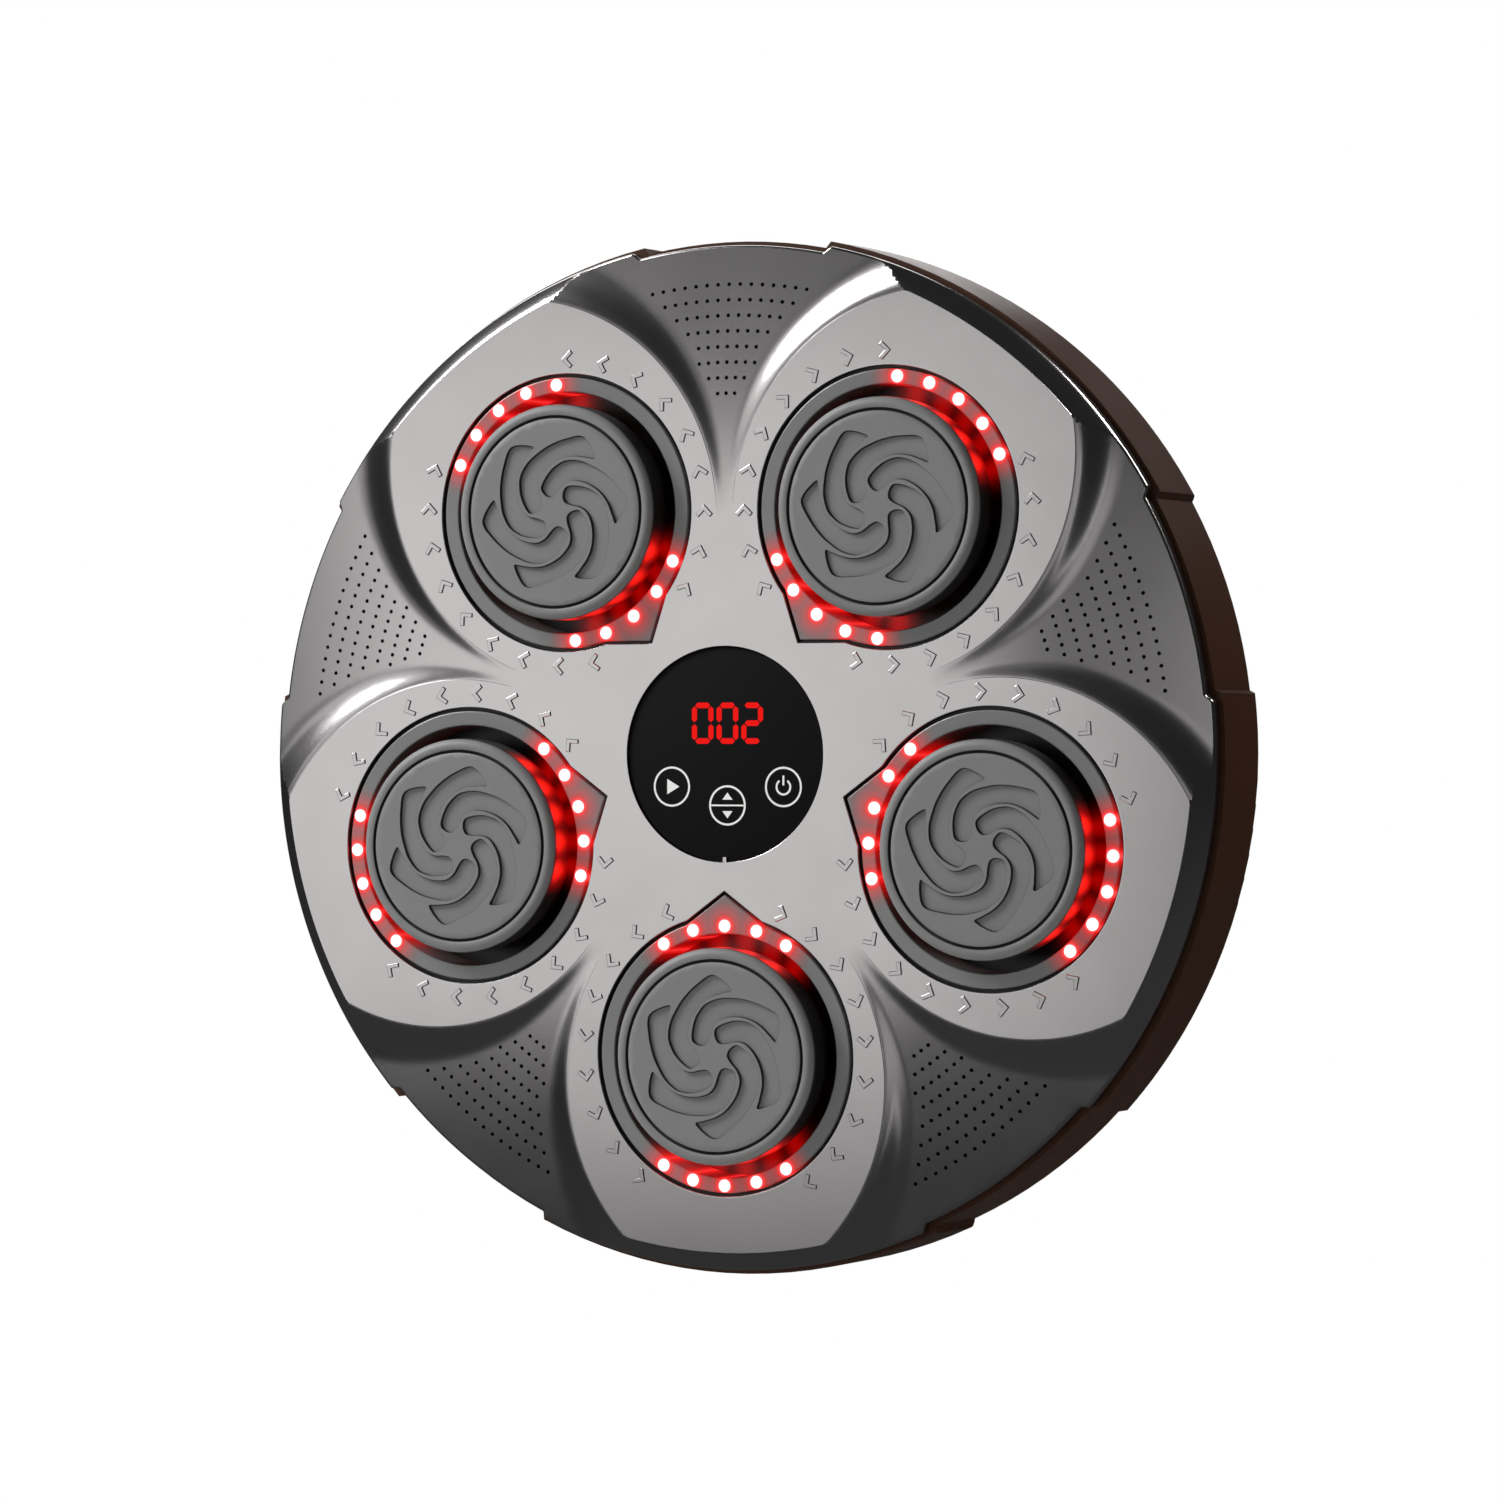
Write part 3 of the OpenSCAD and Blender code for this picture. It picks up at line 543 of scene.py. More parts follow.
# distance outside the nearest ring's opening
def openingDistance(x, y):
    across, out, off, r = petalFrame(x, y)
    return pointedDistance(across * np.sign(off), padCircle - out, ringOuter + cover["groove"])


# distance inside the cover's outline
def outlineDistance(x, y):
    return outlineRadius(np.degrees(np.arctan2(y, x))) - np.hypot(x, y)


# how far the cover's front lies behind the petals' face
def coverDrop(x, y):
    r = np.hypot(x, y)
    d = sideDistance(x, y)
    reach = (r - cover["floorStart"]) / (caseRadius - cover["floorStart"])
    floor = cover["rimDrop"] * np.clip(reach, 0, 1) ** cover["floorPower"]
    width = np.interp(r, *np.transpose(cover["flankWidths"]))
    step = cover["plateStep"] * np.clip(floor / 1.2, 0, 1)
    lean = 1 - (1 - np.clip(d / width, 0, 1)) ** cover["flankTail"]
    flank = smooth(d / 0.15) * step + np.maximum(floor - step, 0) * smooth(lean)
    edge = r - (caseRadius - cover["edgeLand"])
    slope = np.clip(edge / cover["edgeLand"], 0, 1) ** 1.25
    rim = cover["plateStep"] * smooth(edge / 0.15) + (cover["rimDrop"] - cover["plateStep"]) * slope
    drop = np.maximum(np.where(d > 0, flank, 0), np.where(edge > 0, rim, 0))
    gaps = ((openingDistance(x, y), cover["fillet"]), (r - lensOpening, cover["fillet"]),
            (outlineDistance(x, y), cover["edgeRound"]))
    for gap, radius in gaps:
        t = np.clip(1 - gap / radius, 0, 1)
        drop = drop + radius * (1 - np.sqrt(np.maximum(1 - t * t, 0)))
    return drop


perforation = {
    "rows": (15, 13, 11, 9, 7, 7, 5, 3),    # holes in each row, from the outermost in
    "outer": 182.0, "rowPitch": 6.05, "angle": 1.49, "hole": 0.8,
}


def perforationCentres():
    places = []
    for row, count in enumerate(perforation["rows"]):
        radius = perforation["outer"] - perforation["rowPitch"] * row
        for k in range(count):
            a = math.radians((k - (count - 1) / 2) * perforation["angle"] + petalTurn / 2 - 90)
            places.append((radius * math.cos(a), radius * math.sin(a), 0))
    return np.vstack([turned(places, turn) for turn in petalTurns])


def holeRing(tree, entry):
    return addNode(tree, "GeometryNodeMeshCircle", None, {"Vertices": 10},
                   {"Radius": entry.outputs["Hole radius"]}).outputs["Mesh"]


def arcPoints(cx, cy, radius, start, end, pitch):
    count = max(2, int(abs(end - start) * math.pi / 180 * radius / pitch))
    a = np.radians(np.linspace(start, end, count + 1))
    return np.stack([cx + radius * np.cos(a), cy + radius * np.sin(a)], 1)


# outline of a disc with a point, as a closed loop, counterclockwise from the point
def pointedLoop(radius, offset, pitch):
    radius = radius + offset
    tip = radius + ringTip - ringOuter
    near = tip * math.sin(pointHalf)
    off = math.acos(near / radius)
    meet = math.pi / 2 - (math.pi / 2 - pointHalf - off)
    start = np.array([radius * math.cos(meet), radius * math.sin(meet)])
    top = np.array([0.0, tip])
    steps = max(2, int(np.linalg.norm(top - start) / pitch))
    line = [start + (top - start) * k / steps for k in range(steps + 1)]
    mirrored = [(-p[0], p[1]) for p in reversed(line[:-1])]
    sweep = arcPoints(0, 0, radius, 180 - math.degrees(meet), 360 + math.degrees(meet), pitch)
    return np.vstack([line, mirrored, sweep[1:-1]])


# lines of the front: the outline, the openings, and the edges of the petals' flat faces
def coverLines():
    lines = Lines()
    fillet = cover["fillet"]
    notches = [hollow + side * a for hollow in (petalTurn / 2 - 90 + np.array(petalTurns))
               for side in (-1, 1) for a in np.linspace(11.2, 12.6, 12)]
    notches = (np.array(notches) + 180) % 360 - 180
    angles = np.unique(np.round(np.concatenate([np.arange(-180, 180, 0.5), notches]), 3))
    for share in (0, 0.05, 0.15, 0.3, 0.5, 0.75, 1):
        r = outlineRadius(angles, share * cover["edgeRound"])
        lines.add(np.stack([r * np.cos(np.radians(angles)), r * np.sin(np.radians(angles))], 1))
    for offset in (0, 0.1 * fillet, 0.3 * fillet, 0.6 * fillet, fillet, fillet + 0.5):
        loop = pointedLoop(ringOuter + cover["groove"], offset, 2.0)
        for number in padNumbers:
            lines.add(atPad(np.c_[loop, np.zeros(len(loop))], number))
        lines.add(arcPoints(0, 0, lensOpening + offset, 0, 360, 1.6)[:-1])
    edgeRadius = caseRadius - cover["edgeLand"]
    for offset in cover["faceRows"]:
        arc = sideArc(offset, -70, 60, 1.6)
        r = np.hypot(arc[:, 0], arc[:, 1])
        arc = arc[(r < edgeRadius + offset) & (arc[:, 0] > 0) & (r > 90)]
        for turn in petalTurns:
            lines.add(turned(arc, turn), False)
            lines.add(turned(arc * [-1, 1], turn), False)
        rim = arcPoints(0, 0, edgeRadius + offset, -90 - 20, -90 + 20, 1.6)
        rim = rim[sideDistance(rim[:, 0], rim[:, 1]) < offset]
        for turn in petalTurns:
            lines.add(turned(rim, turn), False)
    return lines


def sideArc(offset, start, end, pitch):
    return arcPoints(-cover["sideAcross"], -padCircle - cover["sideOut"], cover["sideRadius"] + offset,
                     start, end, pitch)


def squareGrid(pitch, shift):
    grid = np.mgrid[-200:201:pitch, -200:201:pitch].reshape(2, -1).T + shift
    return grid, sideDistance(grid[:, 0], grid[:, 1]), np.hypot(grid[:, 0], grid[:, 1])


# loose points on the flanks, the rim, the floors of the hollows and, far apart, the flat faces
def coverLoose(centres):
    loose = []
    for offset in cover["flankRows"]:
        arc = sideArc(offset, -75, 70, 1.8 + offset * 0.04)
        half = np.degrees(np.arctan2(arc[:, 0], -arc[:, 1]))
        arc = arc[(np.hypot(arc[:, 0], arc[:, 1]) > 92) & (half > 0) & (half < petalTurn / 2 - 0.3)]
        for turn in petalTurns:
            loose.append(turned(arc, turn))
            loose.append(turned(arc * [-1, 1], turn))
    for inset in cover["rimRows"]:
        loose.append(arcPoints(0, 0, caseRadius - inset, 0, 360, 1.7)[:-1])
    grid, d, r = squareGrid(3.0, 0.37)
    loose.append(grid[(d > 5) & (r > 90)])
    grid, d, r = squareGrid(11.0, 0.11)
    loose.append(grid[(d < 1) & (r < caseRadius - cover["edgeLand"] - 2)])
    loose = np.vstack(loose)
    x, y = loose[:, 0], loose[:, 1]
    r = np.hypot(x, y)
    clear = outlineDistance(x, y) > cover["edgeRound"] + 0.3
    clear &= openingDistance(x, y) > cover["fillet"] + 0.6
    clear &= r > lensRadius + cover["fillet"] + 0.8
    clear &= (np.abs(sideDistance(x, y)) > 0.75) | (r < 90)
    for centre in centres:
        clear &= np.hypot(x - centre[0], y - centre[1]) > perforation["hole"] + 0.5
    return loose[clear]


def coverPlan():
    centres = perforationCentres()
    holes = scatter("perforations", {"sizes": {"Hole radius": perforation["hole"]}, "shape": holeRing},
                    centres, np.zeros_like(centres), "black")
    lines = coverLines()
    start = sum(len(p) for p in lines.points)
    lines.edges.extend((start + e.vertices[0], start + e.vertices[1]) for e in holes.edges)
    lines.points.append(np.array([v.co[:2] for v in holes.vertices]))
    bpy.data.meshes.remove(holes)
    lines.points.append(coverLoose(centres))
    flat = np.vstack(lines.points)
    print("cover points:", len(flat))

    def keep(middle):
        x, y = middle[:, 0], middle[:, 1]
        inHole = np.array([np.hypot(x - c[0], y - c[1]) < perforation["hole"] * 0.93 for c in centres])
        solid = (openingDistance(x, y) > 0) & (outlineDistance(x, y) > 0)
        return solid & (np.hypot(x, y) > lensOpening) & ~inHole.any(0)

    return triangulate(flat, lines.edges, keep)


def coverMesh():
    plan, faces = coverPlan()
    n = len(plan)
    x, y = plan[:, 0], plan[:, 1]
    r = np.hypot(x, y)
    drop = coverDrop(x, y)
    shrink = 1 - cover["wall"] * smooth((r - caseRadius + 18) / 14) / np.maximum(r, 1)
    deep = faceHeight - np.minimum(drop, cover["rimDrop"] + 0.2) - cover["wall"]
    fronts = faces.tolist()
    backs = (faces[:, ::-1] + n).tolist()
    directed = {e: True for a, b, c in fronts for e in ((a, b), (b, c), (c, a))}
    border = [e for e in directed if (e[1], e[0]) not in directed]
    outer = [e for e in border if min(r[e[0]], r[e[1]]) > caseRadius - 8
             and outlineDistance(x[e[0]], y[e[0]]) < 0.05]
    outerSet = set(outer)
    walls = [(b, a, a + n, b + n) for a, b in border if (a, b) not in outerSet]
    # the side of the cover: down to the parting line and back up inside
    ids = sorted({v for e in outer for v in e})
    foot = {v: 2 * n + k for k, v in enumerate(ids)}
    inner = {v: 2 * n + len(ids) + k for k, v in enumerate(ids)}
    lip = np.full(len(ids), faceHeight - cover["rimDrop"] - cover["lipHeight"])
    scale = 1 - cover["wall"] / r[ids]
    points = np.vstack([np.c_[x, y, faceHeight - drop], np.c_[x * shrink, y * shrink, deep],
                        np.c_[x[ids], y[ids], lip], np.c_[x[ids] * scale, y[ids] * scale, lip]])
    for a, b in outer:
        walls.append((b, a, foot[a], foot[b]))
        walls.append((foot[b], foot[a], inner[a], inner[b]))
        walls.append((inner[b], inner[a], a + n, b + n))
    up = slopeNormals(coverDrop, x, y, 0.03)
    normals = [(up[v][0], -up[v][2], up[v][1]) for face in fronts for v in face]
    normals += [(0.0, 1.0, 0.0)] * (3 * len(backs))
    for wall in walls:
        p = standUp(points[list(wall)])
        out = np.cross(p[2] - p[0], p[3] - p[1])
        normals += [tuple(out / max(np.linalg.norm(out), 1e-12))] * 4
    return points, fronts + backs + walls, normals


coverPoints, coverFaces, coverSplit = coverMesh()
makePiece("frontCover", coverPoints, coverFaces, "silver", "case", ("front_cover",), True,
          coverSplit)
print("front cover:", len(coverFaces), "faces")

# Raised chevrons

chevron = {
    "ring": 60.1,           # radius of the circle that they stand on
    "first": 37.0,          # degrees from the ring's point to the first one
    "pitch": 14.9, "count": 9, "arm": 4.3, "stroke": 1.7, "rise": 0.55, "sunk": 0.6, "bevel": 0.22,
}


# outline of one chevron that points along +x, anticlockwise
def chevronOutline():
    half = chevron["stroke"] / math.sqrt(2)
    e = half / 2
    a = chevron["arm"] / math.sqrt(2)
    return [(half, 0), (-a + e, a + e), (-a - e, a - e), (-half, 0), (-a - e, -a + e), (-a + e, -a - e)]


# they point along the ring, away from the ring's own point
def chevronPlaces():
    places, turns = [], []
    for number in padNumbers:
        for side in (-1, 1):
            for k in range(chevron["count"]):
                heading = -90 + side * (chevron["first"] + chevron["pitch"] * k)
                a, r = math.radians(heading), chevron["ring"]
                x, y, z = atPad([(r * math.cos(a), r * math.sin(a), 0)], number)[0]
                places.append((x, y, faceHeight - float(coverDrop(x, y))))
                turns.append(heading - side * 90 + petalTurn * (number - 1))
    return np.array(places), np.array(turns)


# a straight prism on an outline, with a small slope round its top
def extrudeShape(outline, low, high, bevel=0.005):
    outline = np.array(outline, float)
    n = len(outline)
    top = []
    for k in range(n):
        before, here, after = outline[k - 1], outline[k], outline[(k + 1) % n]
        d1, d2 = ((q - p) / np.linalg.norm(q - p) for p, q in ((before, here), (here, after)))
        n1, n2 = np.array([-d1[1], d1[0]]), np.array([-d2[1], d2[0]])
        top.append(here + (n1 + n2) / (1 + n1 @ n2) * bevel)
    points = [(*p, low) for p in outline] + [(*p, high - bevel) for p in outline] + [(*p, high) for p in top]
    faces = [tuple(reversed(range(n))), tuple(range(2 * n, 3 * n))]
    for level in (0, n):
        faces += [(level + k, level + (k + 1) % n, level + (k + 1) % n + n, level + k + n) for k in range(n)]
    return np.array(points), faces


def chevronPiece():
    points, faces = extrudeShape(chevronOutline(), -chevron["sunk"], chevron["rise"], chevron["bevel"])
    points[:, 0] += chevron["arm"] * 0.35
    mesh = bpy.data.meshes.new("chevronShape")
    mesh.from_pydata(standUp(points).tolist(), [], faces)
    source = bpy.data.objects.new("chevronShape", mesh)
    bpy.context.scene.collection.objects.link(source)
    places, turns = chevronPlaces()

    def shape(tree, entry):
        info = addNode(tree, "GeometryNodeObjectInfo", None, {"Object": source})
        same = addNode(tree, "ShaderNodeCombineXYZ", None, None,
                       {axis: entry.outputs["Scale"] for axis in "XYZ"})
        grow = addNode(tree, "GeometryNodeTransform", None, None,
                       {"Geometry": info.outputs["Geometry"], "Scale": same.outputs["Vector"]})
        return grow.outputs["Geometry"]

    spins = np.stack([np.zeros(len(turns)), -np.radians(turns), np.zeros(len(turns))], 1)
    made = scatter("chevrons", {"sizes": {"Scale": 1.0}, "shape": shape}, standUp(places), spins, "silver")
    bpy.data.objects.remove(source)
    return placePiece("chevronMarks", made, "case")


chevrons = chevronPiece()
print("chevrons:", len(chevrons.data.polygons), "faces")

# Punch pads

pad = {
    "edge": 3.0,            # radius of the rounded rim
    "grooveRadius": 37.17, "grooveWidth": 1.3, "grooveDepth": 1.4,
    "bladeDepth": 1.2, "bladeSlope": 0.25, "blades": 6, "columns": 180,
    # a blade's two edges: degrees round from its tip, and distance from the pad's centre
    "outerEdge": ((0, 31.7), (14, 28.9), (30, 25.9), (44, 23.8), (56, 22.5), (70, 20.6), (82, 18.0),
                  (93, 15.5), (108, 12.5), (117, 10.4)),
    "innerEdge": ((114, 7.3), (95, 5.8), (74, 7.5), (62, 11.3), (50, 14.5), (32, 17.7), (15, 20.9),
                  (2, 23.2), (-10, 25.2), (-16, 27.3)),
}


# closed smooth line through some corners
def spline(corners, steps):
    corners = np.array(corners, float)
    n = len(corners)
    t = np.linspace(0, 1, steps, endpoint=False)[:, None]
    line = []
    for k in range(n):
        a, b, c, d = (corners[(k + j) % n] for j in (-1, 0, 1, 2))
        line.append(0.5 * (2 * b + (c - a) * t + (2 * a - 5 * b + 4 * c - d) * t ** 2
                           + (3 * b - a - 3 * c + d) * t ** 3))
    return np.vstack(line)


def bladeOutline():
    edge = [(r * math.cos(math.radians(a - 90)), r * math.sin(math.radians(a - 90)))
            for a, r in pad["outerEdge"] + pad["innerEdge"]]
    return spline(edge, 5)


# distance from each point to a closed outline, positive inside it
def insideDistance(points, outline):
    a, b = outline, np.roll(outline, -1, 0)
    best = np.full(len(points), 1e9)
    crossings = np.zeros(len(points), int)
    px, py = points[:, 0], points[:, 1]
    for (ax, ay), (bx, by) in zip(a, b):
        dx, dy = bx - ax, by - ay
        t = np.clip(((px - ax) * dx + (py - ay) * dy) / (dx * dx + dy * dy), 0, 1)
        best = np.minimum(best, np.hypot(px - ax - t * dx, py - ay - t * dy))
        if ay != by:
            straddles = (ay > py) != (by > py)
            crossings += straddles & (px < ax + (py - ay) * dx / dy)
    return np.where(crossings % 2 == 1, best, -best)


blade = bladeOutline()
bladeTurns = [360 / pad["blades"] * k for k in range(pad["blades"])]


# distance inside the nearest blade
def bladeDistance(points):
    return np.max([insideDistance(turned(points, -turn), blade) for turn in bladeTurns], 0)


def padDrop(x, y):
    drop = pad["bladeDepth"] * smooth(bladeDistance(np.stack([x, y], 1)) / pad["bladeSlope"])
    gap = np.abs(np.hypot(x, y) - pad["grooveRadius"]) / (pad["grooveWidth"] / 2)
    return np.maximum(drop, pad["grooveDepth"] * (1 - smooth((gap - 0.35) / 0.75)))


def padFace(flatRadius):
    lines = Lines()
    around = np.linspace(0, 2 * math.pi, pad["columns"], endpoint=False)
    circle = np.stack([np.cos(around), np.sin(around)], 1)
    lines.add(circle * flatRadius)
    for share in (-1.1, -0.85, -0.6, -0.35, 0.35, 0.6, 0.85, 1.1):
        radius = pad["grooveRadius"] + pad["grooveWidth"] / 2 * share
        if radius < flatRadius - 0.15:
            lines.add(circle * radius)
    step = np.roll(blade, -1, 0) - np.roll(blade, 1, 0)
    normal = np.stack([-step[:, 1], step[:, 0]], 1) / np.linalg.norm(step, axis=1)[:, None]
    for turn in bladeTurns:
        for inset in (-0.15, 0, 0.05, 0.1, 0.15, 0.2, 0.26, 0.42):
            lines.add(turned(blade + normal * inset, turn))
    grid = np.mgrid[-40:41:2.0, -40:41:2.0].reshape(2, -1).T + 0.13
    r, inside = np.hypot(grid[:, 0], grid[:, 1]), bladeDistance(grid)
    lines.points.append(grid[(r < pad["grooveRadius"] - 2) & ((inside < -0.7) | (inside > 1.3))])
    return triangulate(np.vstack(lines.points), lines.edges,
                       lambda middle: np.hypot(middle[:, 0], middle[:, 1]) < flatRadius)


def padMesh():
    flatRadius = padRadius - pad["edge"]
    plan, faces = padFace(flatRadius)
    x, y = plan[:, 0], plan[:, 1]
    points = [np.c_[x, y, padHigh.z - padDrop(x, y)]]
    normals = [tuple(v) for v in slopeNormals(padDrop, x, y, 0.05)]
    allFaces = faces.tolist()
    # the rim's points in order, then rows down the rounded edge and the side
    onRim = np.hypot(x, y) > flatRadius - 0.01
    rim = np.argsort(np.where(onRim, np.arctan2(y, x) % (2 * math.pi), 99))[:int(onRim.sum())]
    angle = np.arctan2(y[rim], x[rim])
    count = len(rim)
    profile = [(flatRadius + pad["edge"] * math.sin(t), padHigh.z - pad["edge"] * (1 - math.cos(t)),
                math.sin(t), math.cos(t)) for t in np.radians(np.linspace(10, 90, 9))]
    foot = padLow.z
    profile += [(padRadius, z, 1, 0) for z in np.linspace(padHigh.z - pad["edge"], foot + 0.5, 14)[1:]]
    profile += [(padRadius - 0.15, foot + 0.15, 0.7, -0.7), (padRadius - 0.5, foot, 0.1, -1)]
    row, total = rim.tolist(), len(plan)
    for radius, z, out, up in profile:
        points.append(np.c_[radius * np.cos(angle), radius * np.sin(angle), np.full(count, z)])
        normals += [(out * math.cos(a), out * math.sin(a), up) for a in angle]
        below = list(range(total, total + count))
        allFaces += [(row[k], below[k], below[(k + 1) % count], row[(k + 1) % count]) for k in range(count)]
        row, total = below, total + count
    points.append(np.array([[0, 0, foot]]))
    normals.append((0, 0, -1))
    allFaces += [(row[k], total, row[(k + 1) % count]) for k in range(count)]
    return np.vstack(points), allFaces, np.array(normals)


def ledAngles():
    half = [(k - (ring["ledSide"] - 1) / 2) * ring["ledPitch"] for k in range(ring["ledSide"])]
    return [90 + a for a in half] + [270 + a for a in half]


# red light that falls on the pad's side beside each lit diode
def padGlow(points):
    angle = np.degrees(np.arctan2(points[:, 1], points[:, 0]))
    side = np.hypot(points[:, 0], points[:, 1]) > padRadius - 0.6
    below = padHigh.z - 1.8 - points[:, 2]
    low = smooth(below / 1.4) * (1 - 0.5 * smooth((below - 3) / 7))
    glow = np.zeros(len(points))
    for a in ledAngles():
        off = (angle - a + 180) % 360 - 180
        glow = np.maximum(glow, 0.62 * np.exp(-(off / 4.5) ** 2) + 0.38 * np.exp(-(off / 10) ** 4))
    return np.clip(glow, 0, 1) * low * side


# painted shade: the pad's side below its grey face and the walls of its cut lines, painted near black
def padPaintedShade(points):
    r, z = np.hypot(points[:, 0], points[:, 1]), points[:, 2]
    dark = smooth((padHigh.z - z - 1.3) / 1.1) * (r > padRadius - 1.5)
    wall = (np.abs(bladeDistance(points[:, :2]) - 0.13) < 0.18) & (r < pad["grooveRadius"] - 2)
    cut = np.abs(r - pad["grooveRadius"]) < pad["grooveWidth"] * 0.45
    return np.maximum(dark, 0.9 * ((wall | cut) & (z > padHigh.z - 2)))


padPoints, padFaces, padNormals = padMesh()
# painted red light and painted shade for the pads' colour
glow, black = padGlow(padPoints), padPaintedShade(padPoints)
print("pad:", len(padFaces), "faces")
for number in padNumbers:
    split = standUp(turned(padNormals, petalTurn * (number - 1))) * 1000
    split = [tuple(split[v] / np.linalg.norm(split[v])) for f in padFaces for v in f]
    piece = makePiece(f"padCushion{number}", atPad(padPoints, number), padFaces, "silicone",
                      f"pad_{number}", (f"pad_cushion_{number}",), True, split)
    for name, values in (("ledGlow", glow), ("blackShot", black)):
        layer = piece.data.attributes.new(name, "FLOAT", "POINT")
        layer.data.foreach_set("value", values)

# Light rings


# distance from the centre to the outline of a disc with a point, at an angle
def pointedRadius(angle, radius):
    tip = radius + ringTip - ringOuter
    side = np.abs(np.cos(angle)) * math.cos(pointHalf) + np.sin(angle) * math.sin(pointHalf)
    near = tip * math.sin(pointHalf)
    straight = near / np.maximum(side, 1e-6)
    return np.where((np.sin(angle) > math.sin(pointHalf)) & (straight > radius), straight, radius)


def ringMesh():
    angles = np.radians(np.arange(0, 360, 1.0))
    inner, e, top, under, foot = ring["inner"], ring["edge"], ringTop, ringTop - ring["lens"], ringLow.z
    # a row is a radius, a share of the way out over the top, or a distance from the pointed edge
    rows = [("radius", inner, z) for z in (foot, foot + 5, under, *np.linspace(under + 0.8, top - e, 4))]
    rows += [("radius", inner + e * (1 - math.cos(t)), top - e * (1 - math.sin(t)))
             for t in np.radians((30, 60, 90))]
    rows += [("share", t, top) for t in np.linspace(0, 1, 4)]
    rows += [("edge", -e * (1 - math.sin(t)), top - e * (1 - math.cos(t)))
             for t in np.radians((0, 30, 60, 90))]
    rows += [("edge", 0, under), ("radius", inner + ring["skirt"], under),
             ("radius", inner + ring["skirt"], foot)]
    edge = pointedRadius(angles, ringOuter)
    points = []
    for kind, place, z in rows:
        if kind == "radius":
            radius = np.full(len(angles), place)
        elif kind == "share":
            radius = inner + e + (edge - e - inner - e) * place
        else:
            radius = pointedRadius(angles, ringOuter + place)
        points.append(np.stack([radius * np.cos(angles), radius * np.sin(angles),
                                np.full(len(angles), z)], 1))
    return np.vstack(points), gridFaces(len(rows), len(angles))


ringPoints, ringFaces = ringMesh()
for number in padNumbers:
    piece = makePiece(f"lightRing{number}", atPad(ringPoints, number), ringFaces, "smoke", "case",
                      (f"light_ring_{number}",))
    sharpen(piece, 40)
print("light rings:", len(ringFaces), "faces each")

# Springs

spring = {"radius": 14.0, "wire": 1.8, "turns": 4.5, "sides": 12, "steps": 40}


def springMesh():
    low, high = nodeBox("pad_spring_1")
    wire = spring["wire"] / 2
    count = int(spring["turns"] * spring["steps"])
    t = np.linspace(0, 1, count + 1)
    a = 2 * math.pi * spring["turns"] * t
    lift = smooth(np.clip((t * spring["turns"] - 0.6) / (spring["turns"] - 1.2), 0, 1) * 0.5 + 0.25)
    lift = (lift - lift[0]) / (lift[-1] - lift[0])
    z = low.z + wire + (high.z - low.z - 2 * wire) * lift
    points = []
    for k in range(count + 1):
        for s in range(spring["sides"]):
            b = 2 * math.pi * s / spring["sides"]
            radius = spring["radius"] + wire * math.cos(b)
            points.append((radius * math.cos(a[k]), radius * math.sin(a[k]), z[k] + wire * math.sin(b)))
    sides = spring["sides"]
    faces = gridFaces(count + 1, sides, False)
    faces.append(tuple(range(sides)))
    faces.append(tuple(reversed(range(count * sides, count * sides + sides))))
    return np.array(points), faces, low.z


springPoints, springFaces, springFoot = springMesh()
for number in padNumbers:
    piece = makePiece(f"padSpring{number}", atPad(springPoints, number), springFaces, "steel", "case",
                      (f"pad_spring_{number}",))
    sharpen(piece, 50)
    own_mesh(piece)
print("springs:", len(springFaces), "faces each")

# Display

display = {
    "ink": 0.02, "edge": 0.3, "aside": 0.9,
    "keys": ((-23.8, -12.6), (0.0, -19.8), (23.8, -12.6)), "keyRadius": 7.8, "line": 0.8,
    "bar": 2.2, "gap": 0.7, "showing": "002",
}
barsOfDigit = {"0": "abcdef", "2": "abged"}


# a solid of revolution; the profile starts and ends on the axis
def revolved(profile, columns=160):
    points, faces, rows = [], [], []
    for radius, z in profile:
        if radius == 0:
            rows.append([len(points)])
            points.append((0, 0, z))
        else:
            rows.append(list(range(len(points), len(points) + columns)))
            a = np.linspace(0, 2 * math.pi, columns, endpoint=False)
            points.extend(np.stack([radius * np.cos(a), radius * np.sin(a), np.full(columns, z)], 1))
    for low, high in zip(rows, rows[1:]):
        for k in range(columns):
            m = (k + 1) % columns
            if len(low) == 1:
                faces.append((low[0], high[m], high[k]))
            elif len(high) == 1:
                faces.append((low[k], low[m], high[0]))
            else:
                faces.append((low[k], low[m], high[m], high[k]))
    return np.array([tuple(p) for p in points]), faces


# flat plate between two lines of as many points; an open one has ends
def plateBetween(outer, inner, low, high, closed=True):
    n = len(outer)
    points = np.vstack([np.c_[line, np.full(n, z)]
                        for line, z in ((outer, low), (outer, high), (inner, high), (inner, low))])
    faces = [] if closed else [(0, 3 * n, 2 * n, n), (n - 1, 2 * n - 1, 3 * n - 1, 4 * n - 1)]
    for level in range(4):
        a, b = level * n, ((level + 1) % 4) * n
        faces += [(a + k, a + (k + 1) % n, b + (k + 1) % n, b + k) for k in range(n if closed else n - 1)]
    return points, faces


def ringOf(radius, centre, angles):
    return np.stack([centre[0] + radius * np.cos(angles), centre[1] + radius * np.sin(angles)], 1)


def joined(parts):
    points, faces, shift = [], [], 0
    for pts, fcs in parts:
        points.append(pts)
        faces.extend(tuple(v + shift for v in f) for f in fcs)
        shift += len(pts)
    return np.vstack(points), faces


segmentLow, segmentHigh = nodeBox("digit_segments")
digitHeight = segmentHigh.y - segmentLow.y
digitWidth = digitHeight * 0.58
digitPitch = (segmentHigh.x - segmentLow.x - digitWidth) / 2
digitMiddle = (segmentHigh.y + segmentLow.y) / 2


